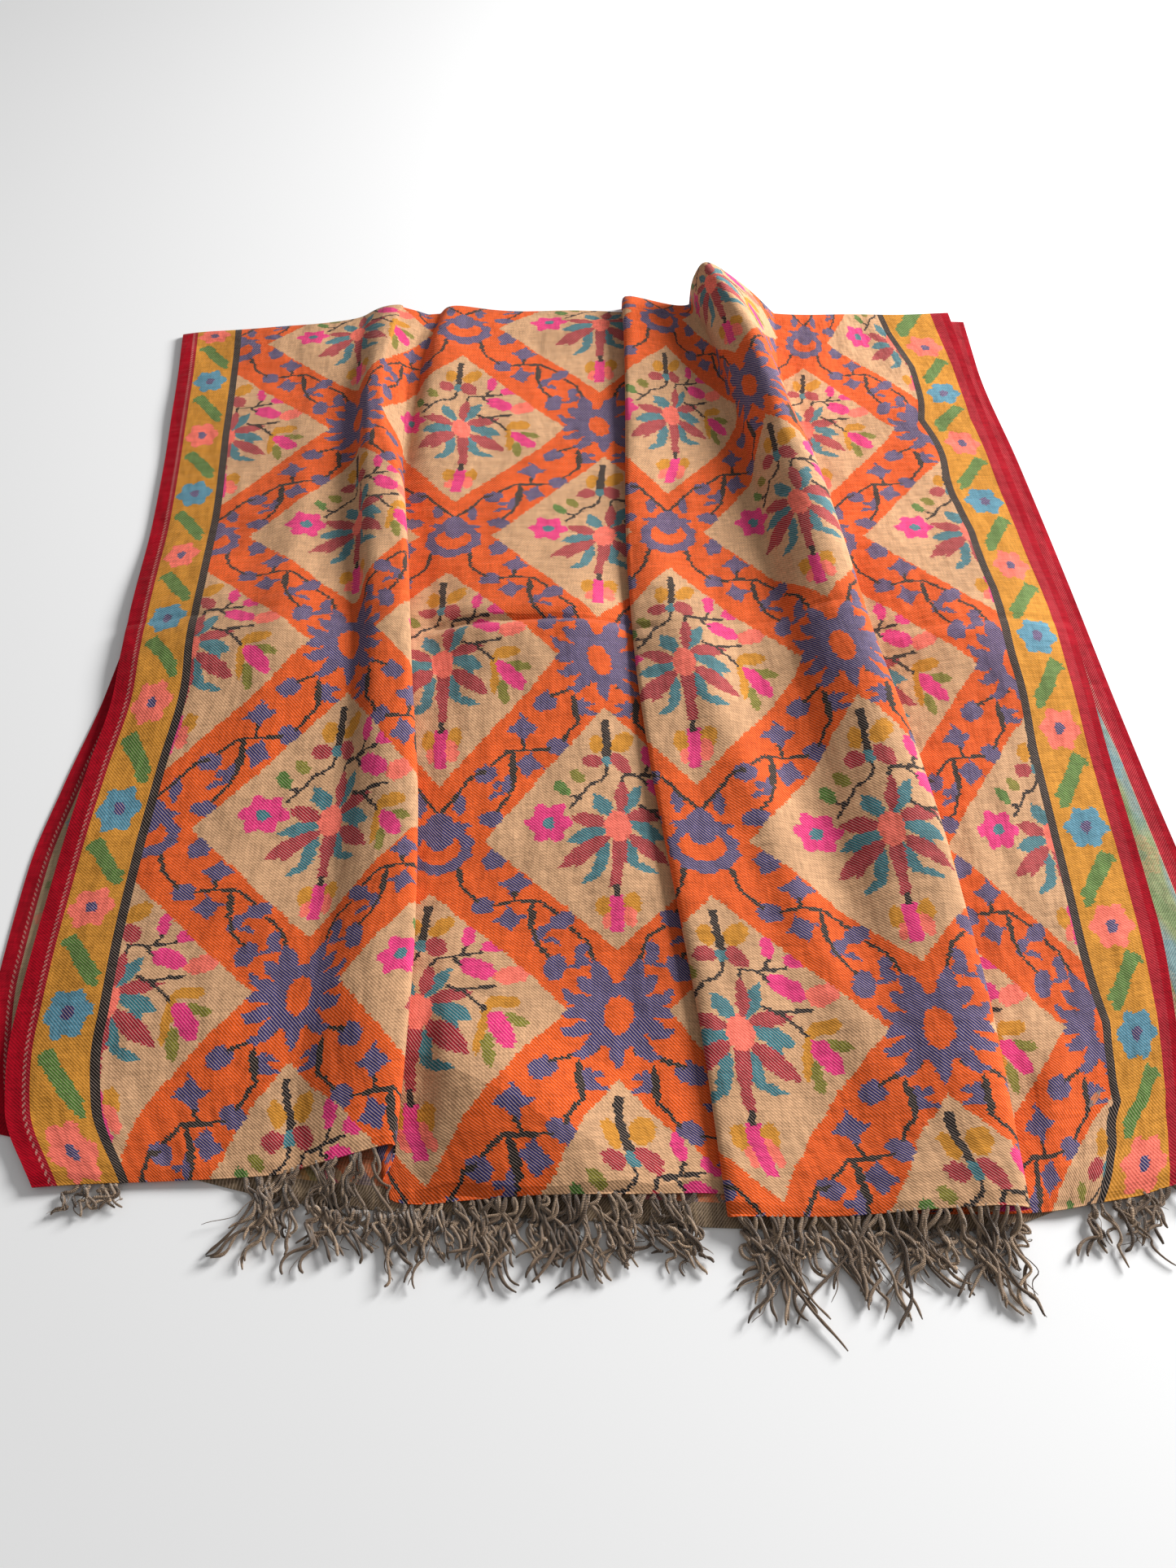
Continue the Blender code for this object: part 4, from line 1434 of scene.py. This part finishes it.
@dataclass
class LowerHalf:
    """The lower half, face down, with the layers hidden in it."""

    name: str = "cloth_lower"
    rows: int = 120
    columns: int = 110

    @staticmethod
    def near(x: float) -> float:
        """The y of the fringed end at one x."""
        return float(LOWER_ENDS.read("near", x))

    @staticmethod
    def thickness(side: np.ndarray, front: np.ndarray) -> np.ndarray:
        """Thickness at distances inside the side and the fringed end."""
        rise = np.minimum((side - SIDE_STEP) / SIDE_RAMP, (front - FRONT_STEP) / FRONT_RAMP)
        rise = np.clip(rise, 0.0, 1.0)
        return LOWER_MARGIN_THICK + (LOWER_THICK - LOWER_MARGIN_THICK) * rise * rise * (3 - 2 * rise)

    def stations(self) -> np.ndarray:
        """Shares across the cloth, closer together at its borders."""
        shares = np.linspace(0, 1, self.columns)
        return shares - 0.08 * np.sin(2 * math.pi * shares) / math.pi

    def build(self, finish: KaniCloth) -> bpy.types.Object:
        """Make the lower half in place of its solid.

        Args:
            finish: The cloth's reverse.

        Returns:
            The sheet.
        """
        share, reach = np.meshgrid(self.stations(), np.linspace(0, 1, self.rows) ** 1.1)
        # The edges are read a little beyond the cloth, and places are then found on them in turns
        first, left, right = LOWER_SIDES.rows[0]
        ends_at = np.linspace(left - 60, right + 20, 200)
        near_at = LOWER_ENDS.read("near", ends_at)
        far_at = LOWER_ENDS.read("far", ends_at)
        sides_at = np.linspace(first - 40, LOWER_SIDES.rows[-1, 0] + 20, 300)
        left_at = LOWER_SIDES.read("left", sides_at)
        right_at = LOWER_SIDES.read("right", sides_at)
        x = left + share * (right - left)
        for _ in range(3):
            near = np.interp(x, ends_at, near_at)
            y = near + reach * (np.interp(x, ends_at, far_at) - near)
            left = np.interp(y, sides_at, left_at)
            right = np.interp(y, sides_at, right_at)
            x = left + share * (right - left)
        thick = self.thickness(np.minimum(x - left, right - x), y - near)
        upper = own_frame(np.dstack([x, y, thick]).reshape(-1, 3))
        cloth = np.dstack([share * CLOTH_WIDTH, 2 * HALF_LENGTH - reach * HALF_LENGTH])
        cloth = np.tile(cloth.reshape(-1, 2), (2, 1)) * MM
        points = np.vstack([upper, upper * (1, 1, 0)])
        made = make_mesh(self.name, points, grid_faces(*share.shape), cloth, finish.material())
        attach(made, BODY)
        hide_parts("lower_half")
        return made


class Run(NamedTuple):
    """Where locks show in front of one panel, how long they are and where there are none."""

    panel: str
    start: float
    stop: float
    shortest: float
    longest: float
    gap_start: float = 0.0
    gap_stop: float = 0.0


UPPER_RUNS = (
    Run("corner", -308, -284, 12, 26),
    Run("left", -206, -128, 30, 64),
    Run("second", -108, 66, 22, 58),
    Run("third", 88, 254, 30, 79),
    Run("right", 300, 358, 18, 46),
)
LOWER_RUN = Run("lower", -188, 262, 16, 44, 62, 92)
LOWER_SEED = 9
LYING = 0.9                # height of a lock's middle where it lies on the floor
LOWER_DROP = 5.0           # from a lower lock's root to where it meets the floor
UPPER_DROP = 8.0           # the least of the same for an upper lock
CLEAR = 9.0                # how far in front of the lower half an upper lock meets the floor
BESIDE = 12.0              # how far beyond a run the edge's points are kept
AROUND = 5.0               # how far to each side of a lock the topmost layer is looked for


class Hem:
    """The lower half's fringed end, which locks hang from."""

    def root(self, x: float) -> np.ndarray:
        """Where a lock leaves the cloth."""
        return np.array([x, LowerHalf.near(x), LYING])

    def knee(self, root: np.ndarray) -> np.ndarray:
        """Where a lock with this root meets the floor."""
        return np.array([root[0], root[1] - LOWER_DROP, LYING])


class UpperHem(Hem):
    """The same of one panel of the upper half."""

    def __init__(self, edge: np.ndarray, run: Run) -> None:
        """Keep the edge's points near the run, from left to right."""
        points = edge[(edge[:, 0] > run.start - BESIDE) & (edge[:, 0] < run.stop + BESIDE)]
        self.points = points[np.argsort(points[:, 0])]

    def root(self, x: float) -> np.ndarray:
        """Where a lock leaves the topmost layer of the cloth."""
        away = np.abs(self.points[:, 0] - x)
        near = self.points[away < AROUND]
        best = near[np.argmax(near[:, 2])] if len(near) else self.points[np.argmin(away)]
        return np.array([x, best[1], best[2]])

    def knee(self, root: np.ndarray) -> np.ndarray:
        """Where a lock with this root meets the floor, clear of the lower half."""
        y = min(LowerHalf.near(root[0]) - CLEAR, root[1] - UPPER_DROP)
        return np.array([root[0], y, LYING])


@dataclass
class Fringe:
    """Rows of loose, curly locks of yarn."""

    material: bpy.types.Material
    lane: float = 4.6          # from one lock to the next
    strands: int = 2           # thick ones in a lock
    wisps: int = 1             # thin ones in a lock
    thick: float = 2.4         # a strand
    bunch: float = 1.6         # from a lock's middle to its outer strands
    gather: float = 43.0       # from one bunch of locks to the next
    sides: int = 6
    rings: int = 26

    def lean(self, x: float, chance: np.random.Generator) -> float:
        """How far a lock leans, towards the middle of its bunch."""
        drawn = math.sin(2 * math.pi * x / self.gather + math.sin(x / 31)) * 0.42
        return float(np.clip(drawn + chance.normal(0, 0.2), -0.8, 0.8))

    def lock(
        self, root: np.ndarray, knee: np.ndarray, length: float, seed: int
    ) -> list[tuple[np.ndarray, float]]:
        """Work out the strands of one lock.

        Args:
            root: Where it leaves the cloth.
            knee: Where it meets the floor.
            length: How far forward it reaches.
            seed: Its number, which sets its curls.

        Returns:
            The middle line and the thickness of each strand.
        """
        chance = np.random.default_rng(seed)
        t = np.linspace(0, 1, self.rings)
        lean = self.lean(root[0], chance)
        curl, turns = chance.uniform(1.0, 3.6), chance.uniform(0.8, 2.2)
        phase, hook = chance.uniform(0, 2 * math.pi), chance.normal(0, 5.0)
        grow = np.minimum(t * 3, 1)
        reach = max(root[1] - knee[1], 1.0)
        stack = chance.uniform(0, 2.5)
        winding = 2 * math.pi * turns * t
        sway = curl * (np.sin(winding + phase) - math.sin(phase)) * grow + hook * t**3
        lines = []
        for k in range(self.strands + self.wisps):
            fine = k >= self.strands
            thick = self.thick * (chance.uniform(0.2, 0.34) if fine else chance.uniform(0.8, 1.15))
            own = length * chance.uniform(0.55 if k else 0.9, 1.0)
            out = self.bunch * (1.3 if fine else 0.8) * (0.5 + 1.5 * t * t)
            angle = 2.1 * k + phase + 3.0 * t
            wave = 1.2 * np.sin(2 * math.pi * (1.9 + 0.6 * k) * t + 1.7 * k + phase)
            loose = chance.normal(0, 4.0 if fine else 3.2) * t**2
            y = root[1] + 1.0 - t * (own + 1.0)
            drop = np.clip((root[1] - y) / reach, 0, 1)
            drop = drop * drop * (3 - 2 * drop)
            x = root[0] + lean * (root[1] - y) + sway + (out * np.cos(angle) + loose + wave) * grow
            z = (root[2] - LYING) * (1 - drop) + knee[2] * drop
            z += (0.3 + 0.4 * out * (1 + np.sin(angle)) + stack * (1 - t) * drop) * grow
            z += 0.5 * thick * drop
            z += 3.5 * np.maximum(np.sin(winding + 1.3 * phase), 0) * drop * (1 - t)
            y = y + 1.8 * np.cos(winding * 1.3 + phase) * grow
            lines.append((np.column_stack([x, y, np.maximum(z, 0.5 * thick + 0.15)]), thick))
        return lines

    def tube(
        self, path: np.ndarray, thick: float, number: float
    ) -> tuple[np.ndarray, np.ndarray, np.ndarray]:
        """Wrap a tapering, uneven tube round a line.

        Args:
            path: The line's points.
            thick: The strand's thickness.
            number: The strand's number, kept in its cloth coordinate.

        Returns:
            Vertices, faces and cloth coordinates.
        """
        ahead = np.gradient(path, axis=0)
        ahead /= np.linalg.norm(ahead, axis=1, keepdims=True)
        side = np.cross(ahead, (0, 0, 1.0))
        side /= np.linalg.norm(side, axis=1, keepdims=True)
        up = np.cross(side, ahead)
        count = len(path)
        share = np.arange(count) / (count - 1)
        uneven = 1 + 0.16 * np.sin(share * 15 + number * 1.7) + 0.1 * np.sin(share * 37 + number)
        taper = uneven * (1 - 0.2 * share) * (1 - 0.5 * np.clip((share - 0.92) / 0.08, 0, 1) ** 1.5)
        radius = (0.5 * thick * taper)[:, None]
        k = np.arange(self.sides)
        angles = 2 * math.pi * k / self.sides
        rings = [path + (side * math.cos(a) + up * math.sin(a)) * radius for a in angles]
        points = np.stack(rings, axis=1).reshape(-1, 3)
        ring = np.arange(count - 1)[:, None] * self.sides
        after = (k + 1) % self.sides
        quads = np.stack([ring + k, ring + after, ring + self.sides + after, ring + self.sides + k], axis=2)
        travel = np.concatenate([[0], np.cumsum(np.linalg.norm(np.diff(path, axis=0), axis=1))])
        cloth = np.column_stack([np.repeat(number, count * self.sides), np.repeat(travel, self.sides)])
        cloth[:, 0] += np.tile(k / self.sides, count) * 0.9
        return points, quads.reshape(-1, 4), cloth

    def build(self, run: Run, hem: Hem, node: str, seed: int) -> bpy.types.Object:
        """Make one run of locks in place of its solid.

        Args:
            run: Where they are.
            hem: What they hang from.
            node: The solid that this stands for.
            seed: First number of its locks.

        Returns:
            The fringe.
        """
        chance = np.random.default_rng(seed)
        points, faces, cloth = [], [], []
        total = number = 0
        for x in np.arange(run.start, run.stop, self.lane):
            x = x + chance.uniform(-2.2, 2.2)
            if run.gap_start < x < run.gap_stop:
                continue
            root = hem.root(x)
            length = run.shortest + chance.beta(1.0, 1.5) * (run.longest - run.shortest)
            for path, thick in self.lock(root, hem.knee(root), length, seed * 1000 + number):
                tube_points, quads, tube_cloth = self.tube(path, thick, float(number))
                points.append(tube_points)
                cloth.append(tube_cloth)
                faces += (quads + total).tolist()
                first = list(range(total, total + self.sides))
                total += len(tube_points)
                faces += [first[::-1], list(range(total - self.sides, total))]
                number += 1
        own = own_frame(np.vstack(points))
        made = make_mesh("yarn_" + run.panel, own, faces, np.vstack(cloth), self.material, 180.0)
        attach(made, BODY)
        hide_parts(node)
        return made


@dataclass
class Studio:
    """The camera at the photograph's angle, the pale ground and soft light."""

    camera_height: float = 0.789
    tilt: float = 37.8
    focal_pixels: float = 1641.0
    image_height: float = 1927.0
    sensor: float = 36.0
    ground_half: float = 6.0
    ground_drop: float = 0.0002
    key: float = 110.0
    key_size: float = 1.1
    key_place: tuple[float, float, float] = (2.0, 1.0, 1.15)
    sky: float = 0.31

    def build(self) -> None:
        """Set all of it up."""
        self.camera()
        self.ground()
        self.lights()

    def camera(self) -> None:
        """Place the camera over the near edge, looking down along the cloth."""
        data = bpy.data.cameras.new("camera")
        data.sensor_fit = "VERTICAL"
        data.sensor_height = self.sensor
        data.lens = self.focal_pixels / self.image_height * self.sensor
        data.clip_start = 0.01
        made = bpy.data.objects.new("camera", data)
        made.location = (-CENTRE[0] * MM, -CENTRE[1] * MM, self.camera_height)
        made.rotation_euler = (math.radians(self.tilt), 0, 0)
        bpy.context.collection.objects.link(made)
        bpy.context.scene.camera = made

    def ground(self) -> None:
        """Lay the pale surface just under the shawl."""
        square = np.array([(-1, -1), (1, -1), (1, 1), (-1, 1)]) * self.ground_half
        corners = np.column_stack([square, np.full(4, -self.ground_drop)])
        made = make_mesh("ground", corners, [(0, 1, 2, 3)], square, Ground().material())

    def lights(self) -> None:
        """Light it softly from beyond the right side, with a pale sky all round."""
        data = bpy.data.lights.new("key", "AREA")
        data.shape = "DISK"
        data.size = self.key_size
        data.energy = self.key
        made = bpy.data.objects.new("key", data)
        made.location = self.key_place
        made.rotation_euler = (-Vector(self.key_place)).to_track_quat("-Z", "Y").to_euler()
        bpy.context.collection.objects.link(made)
        world = bpy.data.worlds.new("sky")
        world.use_nodes = True
        background = world.node_tree.nodes["Background"]
        background.inputs["Color"].default_value = (1.0, 1.0, 1.0, 1.0)
        background.inputs["Strength"].default_value = self.sky
        bpy.context.scene.world = world
        bpy.context.scene.view_settings.view_transform = "Standard"


def main() -> None:
    """Dress the whole shawl."""
    logging.basicConfig(level=logging.INFO, format="%(message)s")
    Studio().build()
    lower = LowerHalf().build(KaniCloth("shawl_reverse", Side.REVERSE))
    upper = UpperHalf()
    upper.build(KaniCloth("shawl_face", Side.FACE), lower)
    fringe = Fringe(Yarn("fringe_wool").material())
    for number, run in enumerate(UPPER_RUNS):
        fringe.build(run, UpperHem(upper.middle[0], run), "fringe_" + run.panel, number + 1)
    fringe.build(LOWER_RUN, Hem(), "fringe_lower", LOWER_SEED)


if __name__ == "__main__":
    main()
